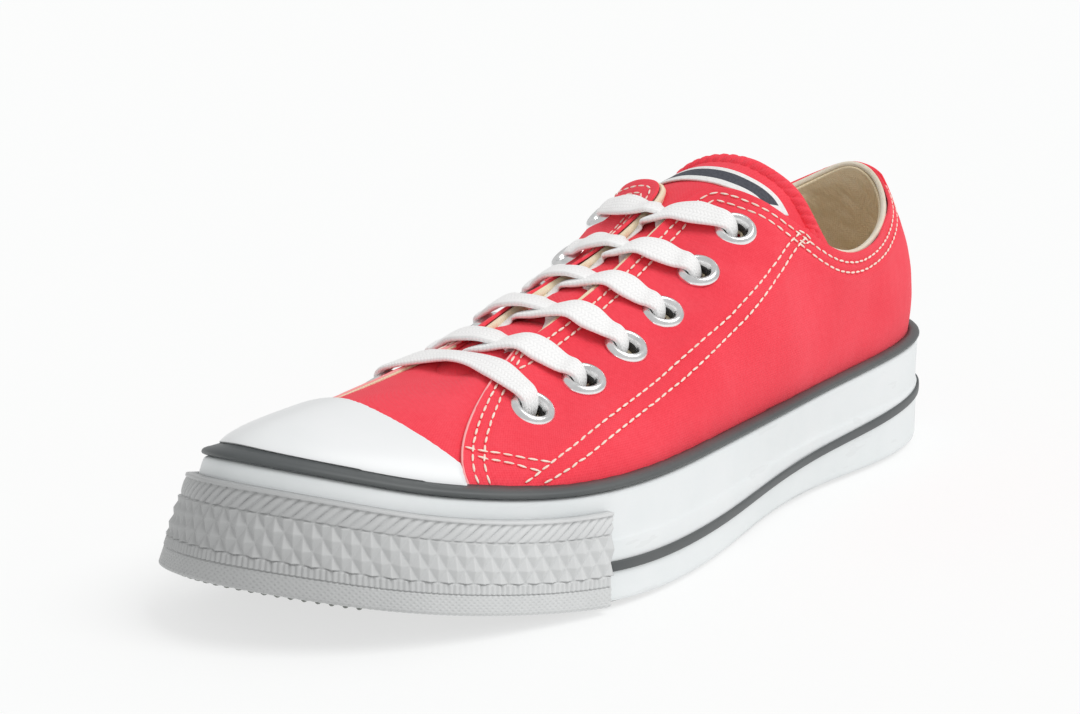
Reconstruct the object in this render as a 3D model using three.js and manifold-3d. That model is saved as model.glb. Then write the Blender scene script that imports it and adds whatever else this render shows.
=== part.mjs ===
// Canvas sneaker, left shoe, standing empty on its sole.
// Millimetres, toe towards -Y, lateral side towards +X, +Z up.
import * as THREE from 'three';
import Module from 'manifold-3d';
import { mergeVertices } from 'three/addons/utils/BufferGeometryUtils.js';

const wasm = await Module();
wasm.setup();

// Driving dimensions of the sole
const soleLength = 273.5;
const heelWidth = 67.8;
const waistWidth = 65.4;
const ballWidth = 95;
const toeDrift = 13;
const toeSpring = 14.2;
const foxingHeight = 28;
const heelRake = 0.3;
const toeRake = 6;
const lipThickness = 3.3;
const foxingStep = 0.4;
const heelSeatHeight = 13;
const ballSeatHeight = 9.5;

// Driving dimensions of the tread
const treadThickness = 3.6;
const lugDepth = 1.6;
const treadInset = 2.9;
const treadRimWidth = 4;
const foxingGroundGap = 1;
const archRise = 1;
const lugLength = 15;
const lugWidth = 19;
const lugGap = 3;

// Driving dimensions of the bumper and the two dark lines
const bumperThickness = 2.6;
const bumperFlare = 0.9;
const bumperLength = 66.5;
const bumperDrop = 4;
const bumperPitch = 4.3;
const bumperRelief = 0.7;
const stripeHeight = 2.4;
const stripeProud = 0.2;
const lowerStripeHeight = 2.5;
const lowerStripeProud = 0.7;

// Driving dimensions of the upper
const canvasWall = 1.7;
const quarterLift = 0.9;
const heelStayLift = 0.8;
const heelStayWidth = 22;
const seatTuck = 1.5;
const collarHeight = 79;
const collarWidth = 62;
const instepHeight = 82;
const throatWidth = 16;
const capThickness = 1.5;
const capLength = 37.9;
const capCentre = -6;
const capBow = 0.006;
const insoleThickness = 3.5;
const tongueThickness = 2.4;
const tongueCrown = 0.6;
const tongueTuck = 17;
const tongueToeTuck = 12;
const sewnDistances = [8, 2.5];
const tongueLength = 126;
const tongueTopWidth = 56;
const tongueTopHeight = 87.5;
const labelThickness = 0.8;
const labelLevels = [0.17, 0.34, 0.5];
const labelColumns = [2, 3, 4, 5, 6, 7, 8, 9, 10];

// Driving dimensions of the eyelets and the lacing
const eyeletCount = 6;
const eyeletPitch = 18.55;
const eyeletInset = 17;
const firstEyeletSetback = 4;
const eyeletRadius = 5.4;
const eyeletBore = 2.7;
const eyeletBarrel = 3.3;
const laceWidth = 6.4;
const laceThickness = 2;
const laceArch = 2.5;
const crossStartShare = 0.48;
const eyeletHeight = 1.7;

const clearance = 0.3;

// A row for each section of the sole, from heel to toe. along is a share of the length,
// the widths are shares of the width named by size, and rim is a share of the foxing height.
const soleRows = [
  { along: 0, size: heelWidth, footLateral: 0, footMedial: 0, topLateral: 0, topMedial: 0, rim: 1.125 },
  { along: 0.03, size: heelWidth, footLateral: 0.27, footMedial: 0.28, topLateral: 0.277, topMedial: 0.28, rim: 1.115 },
  { along: 0.1, size: heelWidth, footLateral: 0.44, footMedial: 0.445, topLateral: 0.445, topMedial: 0.45, rim: 1.085 },
  { along: 0.2, size: heelWidth, footLateral: 0.5, footMedial: 0.494, topLateral: 0.5, topMedial: 0.509, rim: 1.045 },
  { along: 0.32, size: waistWidth, footLateral: 0.505, footMedial: 0.482, topLateral: 0.553, topMedial: 0.53, rim: 1.015 },
  { along: 0.44, size: waistWidth, footLateral: 0.557, footMedial: 0.443, topLateral: 0.607, topMedial: 0.527, rim: 1 },
  { along: 0.56, size: ballWidth, footLateral: 0.462, footMedial: 0.368, topLateral: 0.454, topMedial: 0.4, rim: 0.985 },
  { along: 0.66, size: ballWidth, footLateral: 0.503, footMedial: 0.446, topLateral: 0.48, topMedial: 0.442, rim: 0.97 },
  { along: 0.74, size: ballWidth, footLateral: 0.508, footMedial: 0.472, topLateral: 0.48, topMedial: 0.463, rim: 0.935 },
  { along: 0.82, size: ballWidth, footLateral: 0.462, footMedial: 0.463, topLateral: 0.439, topMedial: 0.44, rim: 0.895 },
  { along: 0.9, size: ballWidth, footLateral: 0.378, footMedial: 0.386, topLateral: 0.34, topMedial: 0.357, rim: 0.885 },
  { along: 0.96, size: ballWidth, footLateral: 0.252, footMedial: 0.283, topLateral: 0.207, topMedial: 0.222, rim: 0.915 },
  { along: 1, size: ballWidth, footLateral: 0, footMedial: 0, topLateral: 0, topMedial: 0, rim: 0.93 },
];

// A row for each fold of the upper's side, in the same order. lean and rise carry the wall up
// from the foxing, and shoulder is where it turns in: along is a share of the length, across of
// the ball width, high of the instep height.
const sideRows = [
  { lean: 3.5, rise: 17, along: 0.015, across: 0, high: 0.805 },
  { lean: 3, rise: 16, along: 0.031, across: 0.153, high: 0.768 },
  { lean: 2.2, rise: 13, along: 0.095, across: 0.274, high: 0.7 },
  { lean: 2.2, rise: 11, along: 0.186, across: 0.332, high: 0.652 },
  { lean: 2.5, rise: 12, along: 0.296, across: 0.358, high: 0.67 },
  { lean: 2.5, rise: 15, along: 0.391, across: 0.358, high: 0.78 },
  { lean: 2, rise: 16, along: 0.475, across: 0.305, high: 0.76 },
  { lean: 1.5, rise: 12, along: 0.567, across: 0.28, high: 0.595 },
  { lean: 1, rise: 10, along: 0.655, across: 0.268, high: 0.53 },
  { lean: 0.5, rise: 8, along: 0.731, across: 0.242, high: 0.46 },
  { lean: 0, rise: 7, along: 0.797, across: 0.179, high: 0.515 },
  { lean: 0, rise: 6.5, along: 0.826, across: 0.084, high: 0.565 },
  { lean: 0, rise: 6.5, along: 0.841, across: 0, high: 0.58 },
];

// The edge of the opening: the collar's rows go from the heel to the top of the lacing, with
// shares of the collar's width and height, and the throat's rows go on to the toe side.
const collarRows = [
  { along: 0.042, across: 0, high: 1 },
  { along: 0.053, across: 0.153, high: 0.962 },
  { along: 0.106, across: 0.33, high: 0.873 },
  { along: 0.19, across: 0.46, high: 0.804 },
  { along: 0.285, across: 0.5, high: 0.823 },
  { along: 0.364, across: 0.363, high: 0.999 },
];
const throatRows = [
  { along: 0.382, across: 0.5, high: 1.006 },
  { along: 0.442, across: 0.281, high: 0.925 },
  { along: 0.519, across: 0.344, high: 0.828 },
  { along: 0.592, across: 0.469, high: 0.76 },
  { along: 0.673, across: 0.5, high: 0.678 },
  { along: 0.731, across: 0.406, high: 0.617 },
  { along: 0.75, across: 0, high: 0.604 },
];

const lastRow = soleRows.length - 1;
const turn = 2 * lastRow;
const heelEnd = soleLength / 2;
const up = new THREE.Vector3(0, 0, 1);

// Small helpers
const clamp01 = (value) => Math.min(1, Math.max(0, value));
const vector = (x, y, z) => new THREE.Vector3(x, y, z);
const smooth = (value) => clamp01(value) ** 2 * (3 - 2 * clamp01(value));
const shareAt = (y) => (heelEnd - y) / soleLength;
const drift = (share) => -toeDrift * clamp01((share - 0.62) / 0.38) ** 1.6;
const spring = (share) => toeSpring * clamp01((share - 0.66) / 0.34) ** 2;
const seatHeight = (share) => THREE.MathUtils.lerp(heelSeatHeight, ballSeatHeight, smooth((share - 0.25) / 0.35));

// One span of a uniform cubic B-spline through the neighbours of index
function blend(control, index, t) {
  const weights = [(1 - t) ** 3, 3 * t ** 3 - 6 * t ** 2 + 4, 3 * (t - t ** 3 + t ** 2) + 1, t ** 3];
  const count = control.length;
  const sum = vector(0, 0, 0);
  weights.forEach((weight, k) => sum.addScaledVector(control[(index + k - 1 + count) % count], weight / 6));
  return sum;
}

// A closed smooth curve that passes through every given point, one unit of u apart
function closedSpline(points) {
  const settlePasses = 40;
  let control = points.map((point) => point.clone());
  for (let pass = 0; pass < settlePasses; pass += 1) {
    control = control.map((point, i) => point.clone().add(points[i]).sub(blend(control, i, 0)));
  }
  return (u) => {
    const turned = ((u % turn) + turn) % turn;
    return blend(control, Math.floor(turned), turned - Math.floor(turned));
  };
}

// Goes down the lateral rows and back up the medial ones
function loopThrough(pointOf) {
  const points = [];
  for (let i = 0; i < turn; i += 1) {
    const lateral = i <= lastRow;
    const row = lateral ? i : turn - i;
    points.push(pointOf(row, lateral ? 1 : -1));
  }
  return closedSpline(points);
}

// The foot and the top of the foxing wall
const footLoop = loopThrough((i, side) => {
  const row = soleRows[i];
  const across = side > 0 ? row.footLateral : row.footMedial;
  return vector(drift(row.along) + side * across * row.size, heelEnd - row.along * soleLength, spring(row.along));
});
const rimLoop = loopThrough((i, side) => {
  const row = soleRows[i];
  const across = side > 0 ? row.topLateral : row.topMedial;
  const y = heelEnd - heelRake - row.along * (soleLength - heelRake - toeRake);
  return vector(drift(row.along) + side * across * row.size, y, foxingHeight * row.rim + spring(row.along));
});

// The point of a loop, moved outwards in plan
function outwards(loop, u, distance) {
  const step = 0.02;
  const along = loop(u + step).sub(loop(u - step));
  const normal = vector(-along.y, along.x, 0).normalize();
  return loop(u).addScaledVector(normal, distance);
}

// A point of the foxing wall: share goes from its foot to its top
const foxing = (u, share, distance) => outwards(footLoop, u, distance).lerp(outwards(rimLoop, u, distance), share);

// The loops that shape the upper: where it leaves the foxing, its swell, its shoulder, its edge
const wallInset = lipThickness + clearance + quarterLift;
const hemLoop = (u) => outwards(rimLoop, u, -wallInset);
const rise = closedSpline(mirrored(sideRows.map((row) => vector(row.lean, row.rise, 0))));
const swellLoop = (u) => {
  const { x: lean, y: lift } = rise(u);
  return outwards(rimLoop, u, lean - wallInset).addScaledVector(up, lift);
};
const shoulderLoop = loopThrough((i, side) => {
  const row = sideRows[i];
  const y = heelEnd - row.along * soleLength;
  return vector(drift(row.along) + side * row.across * ballWidth, y, row.high * instepHeight);
});
const edgeLoop = loopThrough((i, side) => {
  const inCollar = i < collarRows.length;
  const row = inCollar ? collarRows[i] : throatRows[i - collarRows.length];
  const width = inCollar ? collarWidth : throatWidth;
  const height = inCollar ? collarHeight : instepHeight;
  const y = heelEnd - row.along * soleLength;
  return vector(drift(row.along) + side * row.across * width, y, row.high * height);
});

function mirrored(points) {
  return [...points, ...points.slice(1, -1).reverse()];
}

// The upper's own form: u goes round the shoe, v from the foxing (0) to the opening's edge (1)
function lastSurface(u, v) {
  const a = (1 - v) ** 3;
  const b = 3 * v * (1 - v) ** 2;
  const c = 3 * v ** 2 * (1 - v);
  const point = hemLoop(u).multiplyScalar(a).addScaledVector(swellLoop(u), b);
  return point.addScaledVector(shoulderLoop(u), c).addScaledVector(edgeLoop(u), v ** 3);
}

function lastNormal(u, v) {
  const step = 0.02;
  const low = Math.max(0, v - step);
  const high = Math.min(1, v + step);
  const around = lastSurface(u + step, v).sub(lastSurface(u - step, v));
  const upwards = lastSurface(u, high).sub(lastSurface(u, low));
  return upwards.cross(around).normalize();
}

const shell = (u, v, distance) => lastSurface(u, v).addScaledVector(lastNormal(u, v), distance);

// The wall inside the foxing, down to the footbed
function seatPoint(u, distance) {
  const point = outwards(rimLoop, u, distance - wallInset - seatTuck);
  point.z = seatHeight(shareAt(point.y)) + spring(shareAt(point.y)) + clearance;
  return point;
}

// The throat's part of the edge, from the top of the lacing round its toe end and back
const throatStartU = 6.3;
const throatSamples = [];
for (let u = throatStartU; u <= turn - throatStartU; u += 0.1) {
  throatSamples.push(edgeLoop(u));
}

// The v of the meridian at u that lies the given distance from the throat's edge
function insetFromThroat(u, distance) {
  const step = 0.01;
  let v = 1;
  let gap = 0;
  while (gap < distance && v > step) {
    v -= step;
    const point = lastSurface(u, v);
    gap = Math.min(...throatSamples.map((sample) => sample.distanceTo(point)));
  }
  return v;
}

// Meshes
function geometryOf(points, triangles) {
  const positions = points.flatMap((point) => [point.x, point.y, point.z]);
  let volume = 0;
  for (const [a, b, c] of triangles) {
    volume += points[a].dot(points[b].clone().cross(points[c]));
  }
  const turned = volume < 0 ? triangles.map(([a, b, c]) => [a, c, b]) : triangles;
  const geometry = new THREE.BufferGeometry();
  geometry.setAttribute('position', new THREE.Float32BufferAttribute(positions, 3));
  geometry.setIndex(turned.flat());
  return geometry;
}

// Joins neighbouring rings of equal length. A hollow solid joins the last ring to the first one,
// and any other closes both of them from side to side.
function ringSolid(rings, hollow = false) {
  const count = rings[0].length;
  const triangles = [];
  const joints = hollow ? rings.length : rings.length - 1;
  for (let r = 0; r < joints; r += 1) {
    const low = r * count;
    const high = ((r + 1) % rings.length) * count;
    for (let i = 0; i < count; i += 1) {
      const next = (i + 1) % count;
      triangles.push([low + i, low + next, high + next], [low + i, high + next, high + i]);
    }
  }
  if (!hollow) {
    triangles.push(...ladder(0, count, false), ...ladder((rings.length - 1) * count, count, true));
  }
  return geometryOf(rings.flat(), triangles);
}

// Closes one ring with rungs between the points that face each other
function ladder(first, count, flipped) {
  const triangles = [];
  for (let i = 0; i < count / 2; i += 1) {
    const a = first + i;
    const b = first + i + 1;
    const c = first + ((count - i - 1) % count);
    const d = first + ((count - i) % count);
    if (i > 0) {
      triangles.push(flipped ? [a, c, d] : [a, d, c]);
    }
    if (b !== c) {
      triangles.push(flipped ? [a, b, c] : [a, c, b]);
    }
  }
  return triangles;
}

// A solid that runs from the first to the last of its closed sections, with fans as its ends
function sectionSolid(sections) {
  const count = sections[0].length;
  const triangles = [];
  for (let s = 0; s < sections.length - 1; s += 1) {
    for (let i = 0; i < count; i += 1) {
      const next = (i + 1) % count;
      const low = s * count;
      const high = low + count;
      triangles.push([low + i, low + next, high + next], [low + i, high + next, high + i]);
    }
  }
  const last = (sections.length - 1) * count;
  for (let i = 1; i < count - 1; i += 1) {
    triangles.push([0, i + 1, i], [last, last + i, last + i + 1]);
  }
  return geometryOf(sections.flat(), triangles);
}

// A sheet with a thickness: outer and inner are grids of the same size
function sheetSolid(outer, inner) {
  const rows = outer.length;
  const columns = outer[0].length;
  const triangles = [];
  const at = (face, r, c) => face * rows * columns + r * columns + c;
  const quad = (a, b, c, d) => triangles.push([a, b, c], [a, c, d]);
  for (let r = 0; r < rows - 1; r += 1) {
    for (let c = 0; c < columns - 1; c += 1) {
      quad(at(0, r, c), at(0, r, c + 1), at(0, r + 1, c + 1), at(0, r + 1, c));
      quad(at(1, r, c), at(1, r + 1, c), at(1, r + 1, c + 1), at(1, r, c + 1));
    }
  }
  for (let c = 0; c < columns - 1; c += 1) {
    quad(at(0, 0, c), at(1, 0, c), at(1, 0, c + 1), at(0, 0, c + 1));
    quad(at(0, rows - 1, c), at(0, rows - 1, c + 1), at(1, rows - 1, c + 1), at(1, rows - 1, c));
  }
  for (let r = 0; r < rows - 1; r += 1) {
    quad(at(0, r, 0), at(0, r + 1, 0), at(1, r + 1, 0), at(1, r, 0));
    quad(at(0, r, columns - 1), at(1, r, columns - 1), at(1, r + 1, columns - 1), at(0, r + 1, columns - 1));
  }
  return geometryOf([...outer.flat(), ...inner.flat()], triangles);
}

function toSolid(geometry) {
  const bare = geometry.clone();
  bare.deleteAttribute('normal');
  bare.deleteAttribute('uv');
  const merged = mergeVertices(bare);
  const vertProperties = new Float32Array(merged.attributes.position.array);
  const triVerts = new Uint32Array(merged.index.array);
  return new wasm.Manifold(new wasm.Mesh({ numProp: 3, vertProperties, triVerts }));
}

function toGeometry(solid) {
  const mesh = solid.getMesh();
  const geometry = new THREE.BufferGeometry();
  geometry.setAttribute('position', new THREE.BufferAttribute(mesh.vertProperties, 3));
  geometry.setIndex(new THREE.BufferAttribute(mesh.triVerts, 1));
  return geometry;
}

const stepWidth = 0.03;
const samplesPerRow = 3;

// The u of each column round the shoe, with a close pair at each step of the wall
function columnsAround(steps = []) {
  const columns = [];
  for (let i = 0; i < lastRow * samplesPerRow; i += 1) {
    columns.push(i / samplesPerRow);
  }
  columns.push(lastRow);
  for (const u of steps) {
    columns.push(u, u + stepWidth);
  }
  columns.sort((a, b) => a - b);
  return [...columns, ...columns.slice(1, -1).reverse().map((u) => turn - u)];
}

// Spaces columns evenly along a loop between two values of u
function evenColumns(loop, from, to, spacing) {
  const fine = 400;
  const lengths = [0];
  for (let i = 1; i <= fine; i += 1) {
    const a = loop(from + ((to - from) * (i - 1)) / fine);
    const b = loop(from + ((to - from) * i) / fine);
    lengths.push(lengths[i - 1] + a.distanceTo(b));
  }
  const total = lengths[fine];
  const count = 2 * Math.round(total / spacing / 2);
  const columns = [];
  for (let i = 0; i <= count; i += 1) {
    const wanted = (total * i) / count;
    let k = lengths.findIndex((length) => length >= wanted - 1e-9);
    k = Math.max(1, k);
    const part = (wanted - lengths[k - 1]) / (lengths[k] - lengths[k - 1]);
    columns.push(from + ((to - from) * (k - 1 + part)) / fine);
  }
  return columns;
}

// The lateral u at which a loop comes to a given y
function uAtY(loop, y) {
  let low = 0;
  let high = lastRow;
  for (let pass = 0; pass < 40; pass += 1) {
    const middle = (low + high) / 2;
    if (loop(middle).y > y) {
      low = middle;
    } else {
      high = middle;
    }
  }
  return low;
}

const around = columnsAround();
const toeEnd = -heelEnd;

// The white rubber body: recess for the tread, foxing wall with its step, lip and footbed
function midsoleGeometry() {
  const stepShare = 0.56;
  const stepRun = 0.04;
  const recessTop = treadThickness + clearance;
  const atFoot = (u, distance, height) => outwards(footLoop, u, distance).addScaledVector(up, height);
  const arch = (u) => archHeight(shareAt(footLoop(u).y));
  const rings = [
    around.map((u) => atFoot(u, -treadInset, recessTop + arch(u))),
    around.map((u) => atFoot(u, -treadInset, foxingGroundGap + arch(u))),
    around.map((u) => atFoot(u, -0.5, foxingGroundGap + arch(u))),
    around.map((u) => foxing(u, 0.07, 0)),
    around.map((u) => foxing(u, stepShare, 0)),
    around.map((u) => foxing(u, stepShare + stepRun, -foxingStep)),
    around.map((u) => foxing(u, 0.97, -foxingStep)),
    around.map((u) => foxing(u, 1, -foxingStep - 0.4)),
    around.map((u) => foxing(u, 1, -lipThickness)),
    around.map((u) => seatPoint(u, quarterLift + clearance).addScaledVector(up, -clearance)),
  ];
  return ringSolid(rings);
}

const archHeight = (share) => archRise * smooth((share - 0.3) / 0.08) * smooth((0.56 - share) / 0.08);

// The tread sheet, its rim and its rows of lugs
function outsoleGeometry() {
  const inset = -treadInset - clearance;
  const level = (distance, height) =>
    around.map((u) => {
      const point = outwards(footLoop, u, distance);
      return point.addScaledVector(up, height + archHeight(shareAt(point.y)));
    });
  const sheet = toSolid(ringSolid([level(inset, lugDepth), level(inset, treadThickness)]));
  const rimSections = [
    level(inset, 0),
    level(inset, lugDepth + 0.4),
    level(inset - treadRimWidth, lugDepth + 0.4),
    level(inset - treadRimWidth, 0),
  ];
  let tread = sheet.add(toSolid(ringSolid(rimSections, true)));
  for (const { x, y } of lugCentres()) {
    tread = tread.add(lugSolid(x, y));
  }
  return toGeometry(tread);
}

const zoneStarts = { heel: 0.09, heelEnd: 0.3, ball: 0.52, ballEnd: 0.93 };

// Staggered rows of lugs in the heel and under the ball, clear of the rim
function lugCentres() {
  const centres = [];
  const pitchY = lugLength / 2 + lugGap;
  const pitchX = lugWidth + lugGap * 1.5;
  const rimEdge = treadInset + treadRimWidth + clearance;
  const zones = [[zoneStarts.heel, zoneStarts.heelEnd], [zoneStarts.ball, zoneStarts.ballEnd]];
  for (const [start, end] of zones) {
    const rows = Math.floor(((end - start) * soleLength) / pitchY);
    for (let r = 0; r <= rows; r += 1) {
      const y = heelEnd - start * soleLength - r * pitchY;
      const u = uAtY(footLoop, y);
      const right = footLoop(u).x - rimEdge;
      const left = footLoop(turn - u).x + rimEdge;
      const shift = (r % 2) * pitchX * 0.5;
      for (let x = shift - 4 * pitchX; x < 4 * pitchX; x += pitchX) {
        if (x + lugWidth / 2 < right && x - lugWidth / 2 > left) {
          centres.push({ x, y });
        }
      }
    }
  }
  return centres;
}

// One diamond lug that follows the toe spring
function lugSolid(x, y) {
  const corners = [[0, lugLength / 2], [lugWidth / 2, 0], [0, -lugLength / 2], [-lugWidth / 2, 0]];
  const ring = (height) =>
    corners.map(([dx, dy]) => {
      const share = shareAt(y + dy);
      return vector(x + dx, y + dy, height + spring(share) + archHeight(share));
    });
  return toSolid(sectionSolid([ring(0), ring(lugDepth + 0.4)]));
}

// The dark line on the foxing's top edge
function topStripeGeometry() {
  const outer = [
    [-lipThickness, 0],
    [stripeProud - foxingStep, 0],
    [stripeProud, 0.5 * stripeHeight],
    [-0.35 * lipThickness, stripeHeight],
  ];
  const rings = outer.map(([distance, height]) =>
    around.map((u) => outwards(rimLoop, u, distance).addScaledVector(up, height + clearance)));
  const innerTop = around.map((u) => shell(u, vAtHeight(u, stripeHeight - clearance), quarterLift + clearance));
  return ringSolid([...rings, innerTop], true);
}

// The dark line down the foxing's side, from one end of the bumper round the heel to the other
function lowerStripeGeometry() {
  const bumperEndU = uAtY(footLoop, toeEnd + bumperLength);
  const columns = [];
  const count = 60;
  const gapU = 0.04;
  for (let i = 0; i <= count; i += 1) {
    columns.push(-bumperEndU + gapU + ((bumperEndU - gapU) * 2 * i) / count);
  }
  const sections = columns.map((u) => {
    const share = lowerStripeShare(Math.abs(u));
    const band = lowerStripeHeight / foxingHeight / 2;
    return [
      foxing(u, share - band, clearance),
      foxing(u, share - band, lowerStripeProud),
      foxing(u, share + band, lowerStripeProud),
      foxing(u, share + band, clearance),
    ];
  });
  return sectionSolid(sections);
}

// The lower line climbs from the ball to the heel
const lowerStripeShare = (u) => THREE.MathUtils.lerp(0.52, 0.35, smooth((u - 1) / 5));

// The strip round the toe: a lip, slanting ribs, rows of diamonds, a band of ribs and a plain foot
function bumperGeometry() {
  const endU = uAtY(footLoop, toeEnd + bumperLength);
  const columns = evenColumns(footLoop, endU, turn - endU, bumperPitch / 2);
  const flareStart = 4;
  const flareRun = 16;
  const last = columns.length - 1;
  const sections = columns.map((u, i) => {
    const inside = i > 1 && i < last - 1 ? 1 : 0;
    const odd = i % 2;
    const wall = rimLoop(u).z - footLoop(u).z;
    const face = (drop, raise) => {
      const share = 1 - (bumperDrop + drop * (wall - bumperDrop)) / wall;
      const reach = bumperThickness + bumperFlare * drop * smooth((Math.min(i, last - i) - flareStart) / flareRun);
      return foxing(u, share, reach - bumperRelief + raise * bumperRelief * inside);
    };
    const back = (drop) => foxing(u, 1 - (bumperDrop + drop * (wall - bumperDrop)) / wall, clearance);
    return [
      back(0), face(0, -0.6), face(0.04, 1), face(0.07, 0.6 * odd), face(0.2, 0.6 * (1 - odd)), face(0.23, 0),
      face(0.34, odd), face(0.45, 1 - odd), face(0.56, odd), face(0.67, 0),
      face(0.7, 0.5), face(0.78, 0.3), face(0.985, 0), back(0.985),
    ];
  });
  return sectionSolid(sections);
}

// The quarters lie over the vamp from this u back, and the heel stay over them
const quarterFrontU = 9.85;
const quarterFrontV = 0.38;
const quarterFrontLean = 0.6;

// Their front edges lean: the columns near them give way with the height
function leaned(u, v) {
  const side = Math.min(u, turn - u);
  const near = Math.max(0, 1 - Math.abs(side - quarterFrontU));
  return u + (u < lastRow ? 1 : -1) * quarterFrontLean * (v - quarterFrontV) * near;
}

function wallLift(u) {
  const side = Math.min(((u % turn) + turn) % turn, turn - (((u % turn) + turn) % turn));
  if (side > quarterFrontU + stepWidth / 2) {
    return 0;
  }
  return side < heelStayU + stepWidth / 2 ? quarterLift + heelStayLift : quarterLift;
}

// The heel stay ends above the foxing
const footLift = (u) => Math.min(wallLift(u), quarterLift);

const heelStayU = uAcross(heelStayWidth / 2);

// The u at which the hem is the given distance from the shoe's middle
function uAcross(distance) {
  let u = 0;
  while (hemLoop(u).x < distance) {
    u += 0.01;
  }
  return u;
}

// The v at which the upper's side stands the given height over the foxing
function vAtHeight(u, height) {
  const step = 0.002;
  const wanted = hemLoop(u).z + height;
  let v = 0;
  while (lastSurface(u, v).z < wanted) {
    v += step;
  }
  return v;
}

// Where the upper comes out above the dark line on the foxing
const freeV = (u) => vAtHeight(u, stripeHeight + 2 * clearance);

function upperGeometry() {
  const columns = columnsAround([heelStayU, quarterFrontU]);
  const levels = [0.2, 0.4, 0.6, 0.8, 1];
  const liftStart = 0.02;
  const rise = (u, level) => THREE.MathUtils.lerp(freeV(u), 1, level);
  const panel = (u, v, lift) => shell(leaned(u, v), v, lift);
  const foot = [columns.map((u) => panel(u, 0, footLift(u))), columns.map((u) => panel(u, freeV(u), footLift(u)))];
  const outer = [liftStart, ...levels].map((level) => columns.map((u) => panel(u, rise(u, level), wallLift(u))));
  const hem = columns.map((u) => shell(u, 0, -canvasWall));
  const inner = [hem, ...levels.map((level) => columns.map((u) => shell(u, rise(u, level), -canvasWall)))];
  const outerSeat = columns.map((u) => seatPoint(u, quarterLift));
  const innerSeat = columns.map((u) => seatPoint(u, quarterLift - canvasWall));
  let body = toSolid(ringSolid([outerSeat, ...foot, ...outer, ...inner.reverse(), innerSeat], true));
  for (const { point, normal } of eyeletPlaces) {
    body = body.subtract(postSolid(point, normal, eyeletBarrel + 2 * clearance));
  }
  return toGeometry(body);
}

// A round post through the wall, for the eyelet holes
function postSolid(point, normal, radius) {
  const reach = 6;
  const post = new THREE.CylinderGeometry(radius, radius, 2 * reach, 12);
  const turnTo = new THREE.Quaternion().setFromUnitVectors(vector(0, 1, 0), normal);
  post.applyQuaternion(turnTo);
  post.translate(point.x, point.y, point.z);
  return toSolid(post);
}

// The eyelets stand in from the edge of the throat, a pitch apart
const eyeletPlaces = [];
const eyeletLine = (u) => lastSurface(u, insetFromThroat(u, eyeletInset));
for (const side of [1, -1]) {
  let u = lastRow - 1.2;
  const throatFront = edgeLoop(lastRow).y + firstEyeletSetback;
  while (eyeletLine(u).y < throatFront) {
    u -= 0.01;
  }
  let previous = eyeletLine(u);
  for (let k = 0; k < eyeletCount; k += 1) {
    const loopU = side > 0 ? u : turn - u;
    const v = insetFromThroat(loopU, eyeletInset);
    eyeletPlaces.push({ side, number: k + 1, point: shell(loopU, v, quarterLift), normal: lastNormal(loopU, v) });
    while (k < eyeletCount - 1 && eyeletLine(u).distanceTo(previous) < eyeletPitch) {
      u -= 0.01;
    }
    previous = eyeletLine(u);
  }
}

// A barrel through the wall with a rounded flange on the outside
function eyeletGeometry() {
  const flange = 0.6;
  const profile = [
    [eyeletBore, -canvasWall - quarterLift],
    [eyeletBarrel, -canvasWall - quarterLift],
    [eyeletBarrel, flange],
    [eyeletRadius, flange],
    [(eyeletRadius + eyeletBarrel) / 2, eyeletHeight],
    [eyeletBore, flange],
    [eyeletBore, -canvasWall - quarterLift],
  ];
  return new THREE.LatheGeometry(profile.map(([x, y]) => new THREE.Vector2(x, y)), 10);
}

// The rubber cap: its rear edge crosses the vamp in a shallow bow
function capGeometry() {
  const rearGap = (point) => point.y - (toeEnd + capLength + capBow * (point.x - capCentre) ** 2);
  const lowest = (u, distance) => {
    const wanted = hemLoop(u).z + stripeHeight + 3 * clearance;
    let v = 0;
    while (shell(u, v, distance).z < wanted) {
      v += 0.002;
    }
    return v;
  };
  const rearV = (u) => {
    let v = 0;
    while (rearGap(lastSurface(u, v)) < 0 && v < 1) {
      v += 0.005;
    }
    return v;
  };
  const columns = [];
  const count = 24;
  const startU = quarterFrontU + 3 * stepWidth;
  for (let i = 0; i <= count; i += 1) {
    columns.push(startU + ((turn - 2 * startU) * i) / count);
  }
  const levels = [0, 0.15, 0.35, 0.55, 0.75, 1];
  const grid = (distance) =>
    levels.map((level) =>
      columns.map((u) => {
        const low = lowest(u, distance);
        const v = THREE.MathUtils.lerp(low, Math.max(low + 0.03, rearV(u)), level);
        return shell(leaned(u, v), v, distance);
      }));
  return sheetSolid(grid(clearance + capThickness), grid(clearance));
}

// The footbed inside the upper
function insoleGeometry() {
  const level = (height) =>
    around.map((u) => seatPoint(u, quarterLift - canvasWall - clearance).addScaledVector(up, height));
  return ringSolid([level(0), level(insoleThickness)]);
}

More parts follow.
